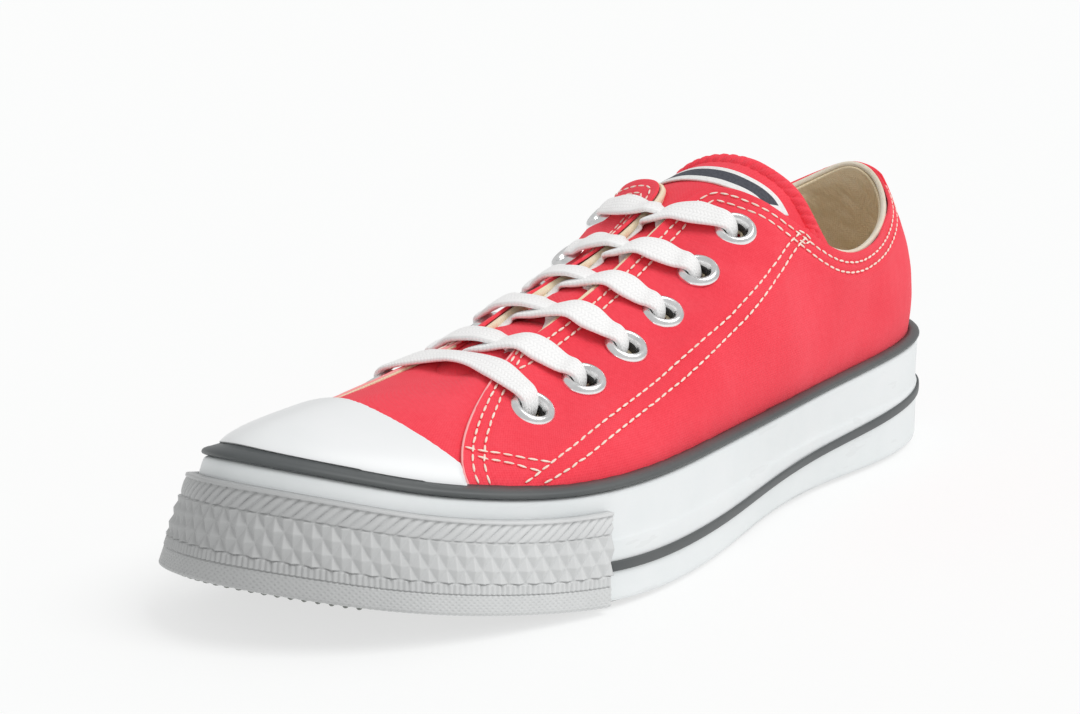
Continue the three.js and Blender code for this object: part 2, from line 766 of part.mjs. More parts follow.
// The tongue's middle surface: rows from under the vamp up to the free top edge
function tongueRows() {
  const depth = -canvasWall - clearance * 3 - tongueThickness / 2;
  const rows = [];
  const under = (u, distance) => shell(u, insetFromThroat(u, distance), depth);
  const across = (points) => new THREE.CatmullRomCurve3(points).getPoints(12);
  const sewn = [10.2, 10.8, 11.4, 12, 12.6, 13.2, 13.8];
  for (const distance of sewnDistances) {
    rows.push(across(sewn.map((u) => under(u, distance))));
  }
  for (const u of [10.6, 9.8, 9, 8.2, 7.4, 6.6]) {
    const tuck = THREE.MathUtils.lerp(tongueTuck, tongueToeTuck, smooth((u - 9) / 1.6));
    const crown = tongueCrown * smooth((11.2 - u) / 2.4);
    const lateral = edgeLoop(u).addScaledVector(lastNormal(u, 1), depth);
    const medial = edgeLoop(turn - u).addScaledVector(lastNormal(turn - u, 1), depth);
    const middle = lateral.clone().lerp(medial, 0.5).addScaledVector(up, crown);
    const half = tuck / 2;
    rows.push(across([under(u, tuck), under(u, half), lateral, middle, medial, under(turn - u, half),
      under(turn - u, tuck)]));
  }
  const base = edgeLoop(lastRow);
  for (const { reach, high, half, drop, sweep } of tongueTopRows) {
    const y = base.y + reach * tongueLength;
    const halfWidth = half * tongueTopWidth;
    const crest = THREE.MathUtils.lerp(instepHeight, tongueTopHeight, high);
    const points = [-1, -0.7, -0.35, 0, 0.35, 0.7, 1].map((side) => {
      const fall = 1 - Math.sqrt(1 - (side * 0.94) ** 2);
      return vector(-side * halfWidth, y + sweep * side ** 2, crest - fall * drop * tongueTopHeight);
    });
    rows.push(across(points));
  }
  return rows;
}

const tongueTopRows = [
  { reach: 0.83, high: -0.1, half: 0.39, drop: 0.2, sweep: 2 },
  { reach: 0.92, high: 0.48, half: 0.44, drop: 0.3, sweep: 3 },
  { reach: 1, high: 1, half: 0.48, drop: 0.39, sweep: 4 },
];

// Turns a grid of middle points into a pair of faces either side of it
function thicken(rows, low, high) {
  const faces = [high, low].map((distance) =>
    rows.map((row, r) =>
      row.map((point, c) => {
        const before = rows[Math.max(0, r - 1)][c];
        const after = rows[Math.min(rows.length - 1, r + 1)][c];
        const left = row[Math.max(0, c - 1)];
        const right = row[Math.min(row.length - 1, c + 1)];
        const normal = after.clone().sub(before).cross(right.clone().sub(left)).normalize();
        normal.multiplyScalar(normal.z < 0 ? -1 : 1);
        return point.clone().addScaledVector(normal, distance);
      })));
  return sheetSolid(faces[0], faces[1]);
}

function tongueGeometry() {
  return thicken(tongueRows(), -tongueThickness / 2, tongueThickness / 2);
}

// The patch sewn on the tongue, near its top edge
function labelGeometry() {
  const rows = tongueRows();
  const top = rows.length - 1;
  const bottom = top - 2;
  const grid = [];
  for (const level of labelLevels) {
    const at = THREE.MathUtils.lerp(bottom, top, level);
    const low = Math.floor(at);
    grid.push(labelColumns.map((c) => rows[low][c].clone().lerp(rows[Math.min(top, low + 1)][c], at - low)));
  }
  const lift = tongueThickness / 2 + clearance;
  return thicken(grid, lift, lift + labelThickness);
}

// Lacing: a flat lace laid over a list of places, each with a point and the direction that the
// lace's flat side faces, clear of everything that it passes
function laceRun(places) {
  const route = new THREE.CatmullRomCurve3(places.map(({ point }) => point));
  const facings = new THREE.CatmullRomCurve3(places.map(({ normal }) => normal));
  const steps = 8;
  const sides = 6;
  const sections = [];
  for (let i = 0; i <= steps; i += 1) {
    const t = i / steps;
    const centre = route.getPoint(t);
    const along = route.getTangent(t);
    const facing = facings.getPoint(t);
    const across = along.clone().cross(facing).normalize();
    const outward = across.clone().cross(along).normalize();
    const section = [];
    for (let k = 0; k < sides; k += 1) {
      const angle = (2 * Math.PI * k) / sides;
      section.push(centre.clone()
        .addScaledVector(across, (Math.cos(angle) * laceWidth) / 2)
        .addScaledVector(outward, (Math.sin(angle) * laceThickness) / 2));
    }
    sections.push(section);
  }
  return sectionSolid(sections);
}

function placeOf(side, number) {
  return eyeletPlaces.find((place) => place.side === side && place.number === number);
}

const laceLift = laceThickness / 2 + 2.5 * clearance;

// A lace end floats just over the flange of its eyelet
function laceEnd(side, number) {
  const { point, normal } = placeOf(side, number);
  return { point: point.clone().addScaledVector(normal, eyeletHeight + laceLift), normal };
}

// On the way to it the lace lies over the edge of the throat
function overEdge(side, y) {
  const lateralU = uAtY(edgeLoop, y);
  const u = side > 0 ? lateralU : turn - lateralU;
  const normal = lastNormal(u, 1).add(up).normalize();
  return { point: edgeLoop(u).addScaledVector(normal, quarterLift + laceLift), normal };
}

// over the stay between the two
function overStay(end, edge) {
  const stayBulge = 1.6;
  const normal = end.normal.clone().add(edge.normal).normalize();
  return { point: end.point.clone().lerp(edge.point, 0.5).addScaledVector(normal, stayBulge), normal };
}

// and between the two edges it arches over the tongue
function overTongue(from, to, arch) {
  return { point: from.point.clone().lerp(to.point, 0.5).addScaledVector(up, arch), normal: up.clone() };
}

function laceBarGeometry() {
  const ends = [laceEnd(1, 1), laceEnd(-1, 1)];
  const edges = [overEdge(1, ends[0].point.y), overEdge(-1, ends[1].point.y)];
  const stays = [overStay(ends[0], edges[0]), overStay(ends[1], edges[1])];
  return laceRun([ends[0], stays[0], edges[0], edges[1], stays[1], ends[1]]);
}

function laceCrossGeometry(number) {
  const run = (side, arch) => {
    const end = laceEnd(side, number);
    const start = overEdge(-side, crossStartY(number));
    const edge = overEdge(side, end.point.y);
    return toSolid(laceRun([start, overTongue(start, edge, arch), edge, overStay(end, edge), end]));
  };
  return toGeometry(run(1, laceArch).add(run(-1, laceArch - laceThickness / 2)));
}

// A crossing starts at the throat's edge, part of a pitch before its eyelets
function crossStartY(number) {
  const own = placeOf(1, number).point.y;
  const before = placeOf(1, number - 1).point.y;
  return THREE.MathUtils.lerp(before, own, crossStartShare);
}

// Materials
const material = (color, roughness, metalness = 0) =>
  new THREE.MeshStandardMaterial({ color, roughness, metalness, side: THREE.DoubleSide });
const whiteRubber = material(0xe4e8e7, 0.45);
const greyRubber = material(0xb9bcbb, 0.5);
const darkRubber = material(0x4e5759, 0.55);
const treadRubber = material(0x8e9392, 0.8);
const redCanvas = material(0xc8283c, 0.95);
const footbedCloth = material(0xb5a07c, 0.9);
const silverMetal = material(0xd8dcda, 0.3, 0.9);
const whiteLace = material(0xf4f3f0, 0.9);
const labelCloth = material(0xf2f0ea, 0.8);

const shoe = new THREE.Group();

function place(name, geometry, finish) {
  const mesh = new THREE.Mesh(geometry, finish);
  mesh.name = name;
  shoe.add(mesh);
  return mesh;
}

place('outsole', outsoleGeometry(), treadRubber);
place('midsole', midsoleGeometry(), whiteRubber);
place('toe_bumper', bumperGeometry(), greyRubber);
place('top_stripe', topStripeGeometry(), darkRubber);
place('lower_stripe', lowerStripeGeometry(), darkRubber);
place('upper', upperGeometry(), redCanvas);
place('toe_cap', capGeometry(), whiteRubber);
place('insole', insoleGeometry(), footbedCloth);
place('tongue', tongueGeometry(), redCanvas);
place('tongue_label', labelGeometry(), labelCloth);

for (const { side, number, point, normal } of eyeletPlaces) {
  const ring = place(`eyelet_${side > 0 ? 'lateral' : 'medial'}_${number}`, eyeletGeometry(), silverMetal);
  ring.position.copy(point);
  ring.quaternion.setFromUnitVectors(vector(0, 1, 0), normal);
}

place('lace_bar_1', laceBarGeometry(), whiteLace);
for (let number = 2; number <= eyeletCount; number += 1) {
  place(`lace_cross_${number}`, laceCrossGeometry(number), whiteLace);
}

// The origin is at the middle of the shoe's footprint, on the ground
shoe.updateMatrixWorld(true);
const bounds = new THREE.Box3().setFromObject(shoe);
const middle = bounds.getCenter(vector(0, 0, 0));
shoe.position.set(-middle.x, -middle.y, -bounds.min.z);

export default shoe;
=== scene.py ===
import math
import bpy
import bmesh
import numpy as np
from mathutils import Matrix, Vector
from mathutils.kdtree import KDTree


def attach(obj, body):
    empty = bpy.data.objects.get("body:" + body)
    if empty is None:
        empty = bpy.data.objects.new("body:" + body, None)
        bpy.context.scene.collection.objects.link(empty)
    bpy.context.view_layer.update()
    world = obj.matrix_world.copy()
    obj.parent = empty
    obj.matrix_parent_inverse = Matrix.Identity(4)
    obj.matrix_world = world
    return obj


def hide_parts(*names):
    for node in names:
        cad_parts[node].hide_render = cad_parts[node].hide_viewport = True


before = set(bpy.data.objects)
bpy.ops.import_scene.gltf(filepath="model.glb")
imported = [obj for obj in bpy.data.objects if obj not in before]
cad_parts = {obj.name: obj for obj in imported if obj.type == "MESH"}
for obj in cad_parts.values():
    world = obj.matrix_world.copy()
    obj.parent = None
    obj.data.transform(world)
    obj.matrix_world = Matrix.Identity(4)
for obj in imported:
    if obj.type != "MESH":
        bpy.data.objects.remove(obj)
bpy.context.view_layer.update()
dice = np.random.default_rng(11)

# The shoe's forms are worked out in millimetres, in the same terms as its solids:
# u runs round the shoe (0 heel, 6 lateral, 12 toe, 18 medial), v up the side from the foxing
# to the edge of the opening, and the solids' frame is moved by origin.
origin = np.array([1.586, 1.076, 0.04])
sole = {"length": 273.5, "heelWidth": 67.8, "waistWidth": 65.4, "ballWidth": 95, "toeDrift": 13,
        "toeSpring": 14.2, "foxingHeight": 28, "heelRake": 0.3, "toeRake": 6, "lip": 3.3,
        "heelSeat": 13, "ballSeat": 9.5, "step": 0.4, "groundGap": 1, "treadInset": 2.9,
        "treadTop": 3.9, "archRise": 1}
upper = {"wall": 1.7, "quarterLift": 0.9, "stayLift": 0.8, "seatTuck": 1.5,
         "clearance": 0.3, "collarHeight": 79, "collarWidth": 62, "instepHeight": 82,
         "throatWidth": 16}
# along, width, foot lateral, foot medial, top lateral, top medial, rim
soleRows = [
    (0, "heelWidth", 0, 0, 0, 0, 1.125),
    (0.03, "heelWidth", 0.27, 0.28, 0.277, 0.28, 1.115),
    (0.1, "heelWidth", 0.44, 0.445, 0.445, 0.45, 1.085),
    (0.2, "heelWidth", 0.5, 0.494, 0.5, 0.509, 1.045),
    (0.32, "waistWidth", 0.505, 0.482, 0.553, 0.53, 1.015),
    (0.44, "waistWidth", 0.557, 0.443, 0.607, 0.527, 1),
    (0.56, "ballWidth", 0.462, 0.368, 0.454, 0.4, 0.985),
    (0.66, "ballWidth", 0.503, 0.446, 0.48, 0.442, 0.97),
    (0.74, "ballWidth", 0.508, 0.472, 0.48, 0.463, 0.935),
    (0.82, "ballWidth", 0.462, 0.463, 0.439, 0.44, 0.895),
    (0.9, "ballWidth", 0.378, 0.386, 0.34, 0.357, 0.885),
    (0.96, "ballWidth", 0.252, 0.283, 0.207, 0.222, 0.915),
    (1, "ballWidth", 0, 0, 0, 0, 0.93),
]
# lean and rise of the wall over the foxing, then along, across and high of the shoulder
sideRows = [
    (3.5, 17, 0.015, 0, 0.805), (3, 16, 0.031, 0.153, 0.768), (2.2, 13, 0.095, 0.274, 0.7),
    (2.2, 11, 0.186, 0.332, 0.652), (2.5, 12, 0.296, 0.358, 0.67), (2.5, 15, 0.391, 0.358, 0.78),
    (2, 16, 0.475, 0.305, 0.76), (1.5, 12, 0.567, 0.28, 0.595), (1, 10, 0.655, 0.268, 0.53),
    (0.5, 8, 0.731, 0.242, 0.46), (0, 7, 0.797, 0.179, 0.515), (0, 6.5, 0.826, 0.084, 0.565),
    (0, 6.5, 0.841, 0, 0.58),
]
# along, across and high of the opening's edge
collarRows = [(0.042, 0, 1), (0.053, 0.153, 0.962), (0.106, 0.33, 0.873), (0.19, 0.46, 0.804),
              (0.285, 0.5, 0.823), (0.364, 0.363, 0.999)]
throatRows = [(0.382, 0.5, 1.006), (0.442, 0.281, 0.925), (0.519, 0.344, 0.828),
              (0.592, 0.469, 0.76), (0.673, 0.5, 0.678), (0.731, 0.406, 0.617), (0.75, 0, 0.604)]
lastRow = 12
turn = 24
heelEnd = sole["length"] / 2
nearby = 0.02  # the step in u and v over which a slope is taken
upward = np.array([0, 0, 1.0])


def smoothStep(x):
    x = np.clip(x, 0, 1)
    return x * x * (3 - 2 * x)


def shareAt(y):
    return (heelEnd - y) / sole["length"]


def drift(share):
    return -sole["toeDrift"] * np.clip((share - 0.62) / 0.38, 0, 1) ** 1.6


def spring(share):
    return sole["toeSpring"] * np.clip((share - 0.66) / 0.34, 0, 1) ** 2


def archHeight(share):
    return sole["archRise"] * smoothStep((share - 0.3) / 0.08) * smoothStep((0.56 - share) / 0.08)


def seatHeight(share):
    drop = smoothStep((share - 0.25) / 0.35)
    return sole["heelSeat"] + (sole["ballSeat"] - sole["heelSeat"]) * drop


def closedSpline(points):
    points = np.array(points, float)
    control = points.copy()
    for _ in range(40):
        control += points - (np.roll(control, 1, 0) + 4 * control + np.roll(control, -1, 0)) / 6

    def at(u):
        u = np.mod(np.asarray(u, float), turn)
        i = np.floor(u).astype(int) % turn
        t = (u - np.floor(u))[..., None]
        return (control[i - 1] * (1 - t) ** 3 + control[i] * (3 * t ** 3 - 6 * t ** 2 + 4)
                + control[(i + 1) % turn] * (3 * (t - t ** 3 + t ** 2) + 1)
                + control[(i + 2) % turn] * t ** 3) / 6
    return at


def loopThrough(pointOf):
    rows = [i if i <= lastRow else turn - i for i in range(turn)]
    return closedSpline([pointOf(row, 1 if i <= lastRow else -1) for i, row in enumerate(rows)])


def footPoint(i, side):
    along, width, footLateral, footMedial = soleRows[i][:4]
    across = footLateral if side > 0 else footMedial
    return drift(along) + side * across * sole[width], heelEnd - along * sole["length"], spring(along)


def rimPoint(i, side):
    along, width, _, _, topLateral, topMedial, rim = soleRows[i]
    across = topLateral if side > 0 else topMedial
    y = heelEnd - sole["heelRake"] - along * (sole["length"] - sole["heelRake"] - sole["toeRake"])
    return drift(along) + side * across * sole[width], y, sole["foxingHeight"] * rim + spring(along)


def shoulderPoint(i, side):
    along, across, high = sideRows[i][2:]
    x = drift(along) + side * across * sole["ballWidth"]
    return x, heelEnd - along * sole["length"], high * upper["instepHeight"]


def edgePoint(i, side):
    inCollar = i < len(collarRows)
    along, across, high = collarRows[i] if inCollar else throatRows[i - len(collarRows)]
    width = upper["collarWidth" if inCollar else "throatWidth"]
    height = upper["collarHeight" if inCollar else "instepHeight"]
    return drift(along) + side * across * width, heelEnd - along * sole["length"], high * height


footLoop = loopThrough(footPoint)
rimLoop = loopThrough(rimPoint)
shoulderLoop = loopThrough(shoulderPoint)
edgeLoop = loopThrough(edgePoint)
riseLoop = closedSpline([(row[0], row[1], 0) for row in sideRows + sideRows[-2:0:-1]])
wallInset = sole["lip"] + upper["clearance"] + upper["quarterLift"]


def unit(vectors):
    return vectors / np.linalg.norm(vectors, axis=-1, keepdims=True)


def outwards(loop, u, distance):
    u = np.asarray(u, float)
    along = loop(u + nearby) - loop(u - nearby)
    normal = unit(np.stack([-along[..., 1], along[..., 0], 0 * along[..., 0]], -1))
    return loop(u) + normal * (np.zeros(u.shape) + distance)[..., None]


def foxing(u, share, distance):
    u, share, distance = np.broadcast_arrays(u, share, distance)
    low, high = outwards(footLoop, u, distance), outwards(rimLoop, u, distance)
    return low + (high - low) * share[..., None]


def lastSurface(u, v):
    u, v = np.broadcast_arrays(np.asarray(u, float), np.asarray(v, float))
    w = v[..., None]
    rise = riseLoop(u)
    swell = outwards(rimLoop, u, rise[..., 0] - wallInset)
    swell[..., 2] += rise[..., 1]
    hem = outwards(rimLoop, u, -wallInset)
    return (hem * (1 - w) ** 3 + swell * 3 * w * (1 - w) ** 2
            + shoulderLoop(u) * 3 * w ** 2 * (1 - w) + edgeLoop(u) * w ** 3)


def lastNormal(u, v):
    u, v = np.broadcast_arrays(np.asarray(u, float), np.asarray(v, float))
    around = lastSurface(u + nearby, v) - lastSurface(u - nearby, v)
    upwards = lastSurface(u, np.minimum(1, v + nearby)) - lastSurface(u, np.maximum(0, v - nearby))
    return unit(np.cross(upwards, around))


def shell(u, v, distance):
    # the point over u, v, out from the last by the distance
    distance = np.asarray(distance, float)
    return lastSurface(u, v) + lastNormal(u, v) * distance[..., None]


def lifted(points, height):
    return points + np.asarray(height)[..., None] * upward


def seatPoint(u, distance):
    point = outwards(rimLoop, u, distance - wallInset - upper["seatTuck"])
    share = shareAt(point[..., 1])
    point[..., 2] = seatHeight(share) + spring(share) + upper["clearance"]
    return point


edgeSamples = edgeLoop(np.arange(0, turn, 0.05))
throatSamples = edgeLoop(np.arange(6.3, 17.75, 0.1))


def insetV(u, distance, samples=edgeSamples):
    # the v at each u that lies the given distance from the samples, counted down from the edge
    u = np.atleast_1d(np.asarray(u, float))
    levels = np.linspace(1, 0.02, 99)
    points = lastSurface(u[:, None], levels[None, :])
    found = np.full(len(u), levels[-1])
    for i in range(len(u)):
        gaps = np.sqrt(((points[i][:, None, :] - samples[None]) ** 2).sum(-1)).min(1)
        k = int(np.argmax(gaps >= distance))
        if gaps[k] >= distance and k > 0:
            part = (distance - gaps[k - 1]) / (gaps[k] - gaps[k - 1])
            found[i] = levels[k - 1] + (levels[k] - levels[k - 1]) * part
    return found


def vAtHeight(u, height):
    # the v at each u at which the upper's side stands the given height over its hem
    levels = np.linspace(0, 1, 201)
    z = lastSurface(u[:, None], levels[None, :])[..., 2]
    return levels[np.argmax(z >= z[:, :1] + height, axis=1)]


def ripple(points, size, seed):
    # a soft random wave over space, between about -1 and 1
    roll = np.random.default_rng(seed)
    total = 0
    for _ in range(7):
        axis = roll.normal(size=3)
        axis *= roll.uniform(0.6, 1.5) * 2 * math.pi / (size * np.linalg.norm(axis))
        total = total + np.sin(points @ axis + roll.uniform(0, 2 * math.pi))
    return total / 3.2


print("forms ready")


# Making meshes
def toFrame(points):
    return (np.asarray(points) + origin) / 1000


def finishPiece(bm, name, material):
    mesh = bpy.data.meshes.new(name)
    bm.normal_update()
    bm.to_mesh(mesh)
    bm.free()
    piece = bpy.data.objects.new(name, mesh)
    bpy.context.scene.collection.objects.link(piece)
    mesh.materials.append(material)
    for polygon in mesh.polygons:
        polygon.use_smooth = True
    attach(piece, "root")
    return piece


def gridMesh(points, uv=None, wrapRows=False, wrapColumns=False, flip=False, keep=None):
    # a grid of points as a sheet, a tube (one wrap) or a ring (both wraps)
    rows, columns = points.shape[:2]
    bm = bmesh.new()
    bmesh.ops.create_grid(bm, x_segments=columns - 1, y_segments=rows - 1, size=1)
    bm.verts.ensure_lookup_table()
    for vert, place in zip(bm.verts, toFrame(points).reshape(-1, 3).tolist()):
        vert.co = place
    layer = bm.loops.layers.uv.new("cloth")
    flat = (np.zeros((rows * columns, 2)) if uv is None else np.asarray(uv).reshape(-1, 2)).tolist()
    for face in bm.faces:
        for loop in face.loops:
            loop[layer].uv = flat[loop.vert.index]
    if keep is not None:
        middles = np.array([face.calc_center_median() for face in bm.faces])
        gone = [face for face, stays in zip(bm.faces, keep(middles * 1000 - origin)) if not stays]
        bmesh.ops.delete(bm, geom=gone, context="FACES")
    if wrapRows or wrapColumns:
        rim = [vert for vert in bm.verts if vert.is_boundary]
        bmesh.ops.remove_doubles(bm, verts=rim, dist=1e-6)
    if flip:
        bmesh.ops.reverse_faces(bm, faces=bm.faces)
    return bm


def faceUp(bm):
    bm.normal_update()
    if sum(face.normal.z * face.calc_area() for face in bm.faces) < 0:
        bmesh.ops.reverse_faces(bm, faces=bm.faces)


def closeEnds(bm):
    rim = [edge for edge in bm.edges if edge.is_boundary]
    bmesh.ops.holes_fill(bm, edges=rim, sides=0)
    bmesh.ops.recalc_face_normals(bm, faces=bm.faces)


def joinMeshes(parts):
    whole = bmesh.new()
    for part in parts:
        mesh = bpy.data.meshes.new("joined")
        part.to_mesh(mesh)
        part.free()
        whole.from_mesh(mesh)
        bpy.data.meshes.remove(mesh)
    return whole


def lengthsAlong(points, axis):
    steps = np.linalg.norm(np.diff(points, axis=axis), axis=-1)
    zero = np.zeros_like(np.take(steps, [0], axis=axis))
    return np.concatenate([zero, np.cumsum(steps, axis=axis)], axis=axis)


def clothUv(points):
    # threads run along the middle row and up each column, in metres
    middle = lengthsAlong(points, 1)[points.shape[0] // 2]
    upwards = lengthsAlong(points, 0)
    return np.stack([np.broadcast_to(middle, upwards.shape), upwards], -1) / 1000


def thickness(piece, depth, edge, segments=2):
    # gives a sheet its thickness, inwards, and rounds its rim
    solid = piece.modifiers.new("thickness", "SOLIDIFY")
    solid.thickness = depth / 1000
    solid.offset = -1
    solid.use_even_offset = False
    if edge > 0:
        bevel = piece.modifiers.new("edge", "BEVEL")
        bevel.width = edge / 1000
        bevel.segments = segments
        bevel.limit_method = "ANGLE"
        bevel.angle_limit = math.radians(50)
    return piece


def smoothRun(points, count):
    # Catmull-Rom through the points, with count samples evenly spaced in length
    points = np.asarray(points, float)
    ends = np.vstack([2 * points[0] - points[1], points, 2 * points[-1] - points[-2]])
    t = np.linspace(0, 1, 13)[:-1][:, None]
    spans = []
    for a, b, c, d in zip(ends[:-3], ends[1:-2], ends[2:-1], ends[3:]):
        spans.append(0.5 * (2 * b + (c - a) * t + (2 * a - 5 * b + 4 * c - d) * t ** 2
                            + (3 * b - a - 3 * c + d) * t ** 3))
    dense = np.vstack(spans + [points[-1:]])
    lengths = lengthsAlong(dense[:, :3], 0)
    wanted = np.linspace(0, lengths[-1], count)
    return np.stack([np.interp(wanted, lengths, column) for column in dense.T], -1)


# Materials
def newMaterial(name, colour, roughness, metallic=0.0):
    material = bpy.data.materials.new(name)
    material.use_nodes = True
    shader = material.node_tree.nodes["Principled BSDF"]
    shader.inputs["Base Color"].default_value = (*colour, 1)
    shader.inputs["Roughness"].default_value = roughness
    shader.inputs["Metallic"].default_value = metallic
    return material, material.node_tree, shader


def maths(tree, operation, *values):
    node = tree.nodes.new("ShaderNodeMath")
    node.operation = operation
    for socket, value in zip(node.inputs, values):
        if isinstance(value, (int, float)):
            socket.default_value = value
        else:
            tree.links.new(value, socket)
    return node.outputs[0]


def hump(tree, value):
    # rises and falls once for every whole step of the value
    return maths(tree, "ABSOLUTE", maths(tree, "SINE", maths(tree, "MULTIPLY", value, math.pi)))


def noiseOn(tree, vector, scale, detail=3, roughness=0.5):
    node = tree.nodes.new("ShaderNodeTexNoise")
    node.inputs["Scale"].default_value = scale
    node.inputs["Detail"].default_value = detail
    node.inputs["Roughness"].default_value = roughness
    tree.links.new(vector, node.inputs["Vector"])
    return node.outputs["Fac"]


def rampOn(tree, value, stops):
    # stops: place and colour
    ramp = tree.nodes.new("ShaderNodeValToRGB")
    for k, (place, colour) in enumerate(stops):
        element = ramp.color_ramp.elements[k] if k < 2 else ramp.color_ramp.elements.new(place)
        element.position = place
        element.color = (*colour, 1)
    tree.links.new(value, ramp.inputs["Fac"])
    return ramp.outputs["Color"]


def mixOn(tree, share, first, second):
    mix = tree.nodes.new("ShaderNodeMix")
    mix.data_type = "RGBA"
    tree.links.new(share, mix.inputs["Factor"])
    tree.links.new(first, mix.inputs["A"])
    if isinstance(second, tuple):
        mix.inputs["B"].default_value = second
    else:
        tree.links.new(second, mix.inputs["B"])
    return mix.outputs["Result"]


def bumpOn(tree, height, strength, distance, under=None):
    bump = tree.nodes.new("ShaderNodeBump")
    bump.inputs["Strength"].default_value = strength
    bump.inputs["Distance"].default_value = distance
    tree.links.new(height, bump.inputs["Height"])
    if under is not None:
        tree.links.new(under, bump.inputs["Normal"])
    return bump.outputs["Normal"]


def objectVector(tree):
    return tree.nodes.new("ShaderNodeTexCoord").outputs["Object"]


def uvAxes(tree, pitchX, pitchY):
    source = tree.nodes.new("ShaderNodeUVMap")
    source.uv_map = "cloth"
    axes = tree.nodes.new("ShaderNodeSeparateXYZ")
    tree.links.new(source.outputs["UV"], axes.inputs[0])
    return maths(tree, "DIVIDE", axes.outputs["X"], pitchX), maths(tree, "DIVIDE", axes.outputs["Y"], pitchY)


def weaveHeight(tree, pitch):
    # plain weave: the warp lies on top in every other square
    x, y = uvAxes(tree, pitch, pitch)
    cell = maths(tree, "ADD", maths(tree, "FLOOR", x), maths(tree, "FLOOR", y))
    odd = maths(tree, "FLOORED_MODULO", cell, 2.0)
    even = maths(tree, "SUBTRACT", 1.0, odd)
    return maths(tree, "ADD", maths(tree, "MULTIPLY", odd, hump(tree, x)),
                 maths(tree, "MULTIPLY", even, hump(tree, y)))


def clothMaterial(name, colours, pitch, bump, sheen, tint, patch=30):
    material, tree, shader = newMaterial(name, colours[1], 0.92)
    height = weaveHeight(tree, pitch)
    place = objectVector(tree)
    fine = noiseOn(tree, place, 900, 2, 0.6)
    mixed = maths(tree, "MULTIPLY", noiseOn(tree, place, patch, 4, 0.55), 0.55)
    mixed = maths(tree, "ADD", mixed, maths(tree, "MULTIPLY", fine, 0.25))
    # the weave's crowns are painted lighter and its hollows darker: a painted shade
    mixed = maths(tree, "ADD", mixed, maths(tree, "MULTIPLY", height, 0.2))
    colour = rampOn(tree, mixed, [(0.3, colours[0]), (0.72, colours[2]), (0.52, colours[1])])
    tree.links.new(colour, shader.inputs["Base Color"])
    rough = bumpOn(tree, fine, 0.25, 0.0003)
    tree.links.new(bumpOn(tree, height, bump, 0.0002, rough), shader.inputs["Normal"])
    shader.inputs["Sheen Weight"].default_value = sheen
    shader.inputs["Sheen Roughness"].default_value = 0.5
    shader.inputs["Sheen Tint"].default_value = (*tint, 1)
    shader.inputs["Specular IOR Level"].default_value = 0.2
    return material


def scuffed(tree, place, colour, amount):
    # faint flat marks that run round the shoe
    stretch = tree.nodes.new("ShaderNodeMapping")
    stretch.inputs["Scale"].default_value = (60, 60, 320)
    tree.links.new(place, stretch.inputs["Vector"])
    marks = noiseOn(tree, stretch.outputs["Vector"], 1, 3, 0.5)
    both = maths(tree, "MULTIPLY", marks, noiseOn(tree, place, 45, 2, 0.5))
    mask = maths(tree, "MULTIPLY", maths(tree, "GREATER_THAN", both, 0.38), amount)
    return mixOn(tree, mask, colour, (0.5, 0.5, 0.5, 1))


def darkerAtTip(tree, place, colour, start, stop, tone):
    # a painted shade: the colour grows darker towards the tip of the toe, which faces away from the light;
    # start and stop along the shoe, in metres, and the tone at the tip of the toe
    axes = tree.nodes.new("ShaderNodeSeparateXYZ")
    tree.links.new(place, axes.inputs[0])
    along = tree.nodes.new("ShaderNodeMapRange")
    along.interpolation_type = "SMOOTHSTEP"
    for socket, value in (("From Min", start), ("From Max", stop), ("To Min", tone), ("To Max", 1)):
        along.inputs[socket].default_value = value
    tree.links.new(axes.outputs["Y"], along.inputs["Value"])
    shade = tree.nodes.new("ShaderNodeVectorMath")
    shade.operation = "SCALE"
    tree.links.new(colour, shade.inputs[0])
    tree.links.new(along.outputs["Result"], shade.inputs["Scale"])
    return shade.outputs["Vector"]


def rubberMaterial(name, colours, roughness, bump=0.12, scuffs=0.0, tipShade=None):
    material, tree, shader = newMaterial(name, colours[1], roughness)
    place = objectVector(tree)
    broad = noiseOn(tree, place, 22, 5, 0.6)
    colour = rampOn(tree, broad, [(0.3, colours[0]), (0.7, colours[2]), (0.5, colours[1])])
    if scuffs > 0:
        colour = scuffed(tree, place, colour, scuffs)
    # painted shade: the rubber darkens towards the tip of the toe
    if tipShade is not None:
        colour = darkerAtTip(tree, place, colour, *tipShade)
    tree.links.new(colour, shader.inputs["Base Color"])
    small = noiseOn(tree, place, 160, 3, 0.6)
    tree.links.new(bumpOn(tree, small, bump, 0.0004), shader.inputs["Normal"])
    spread = maths(tree, "MULTIPLY_ADD", broad, 0.2, roughness - 0.1)
    tree.links.new(spread, shader.inputs["Roughness"])
    return material


redCanvas = clothMaterial("redCanvas", [(0.84, 0.042, 0.066), (0.92, 0.060, 0.088), (0.97, 0.090, 0.124)],
                          0.00062, 0.3, 0.16, (1.0, 0.6, 0.65))
tanLining = clothMaterial("tanLining", [(0.80, 0.66, 0.43), (0.90, 0.78, 0.55), (0.95, 0.87, 0.68)],
                          0.0007, 0.4, 0.1, (1.0, 0.95, 0.85), 60)
creamTape = clothMaterial("creamTape", [(0.74, 0.66, 0.50), (0.84, 0.77, 0.62), (0.90, 0.84, 0.72)],
                          0.0005, 0.4, 0.2, (1, 1, 1), 60)
footbedCloth = clothMaterial("footbedCloth", [(0.50, 0.41, 0.27), (0.60, 0.50, 0.34), (0.68, 0.58, 0.42)],
                             0.0008, 0.4, 0.1, (1, 1, 1), 40)
whiteRubber = rubberMaterial("whiteRubber", [(0.74, 0.775, 0.78), (0.79, 0.82, 0.825), (0.83, 0.85, 0.855)],
                             0.42, 0.10, 0.1)
capRubber = rubberMaterial("capRubber", [(0.80, 0.82, 0.82), (0.84, 0.855, 0.86), (0.86, 0.87, 0.875)],
                           0.32, 0.05)
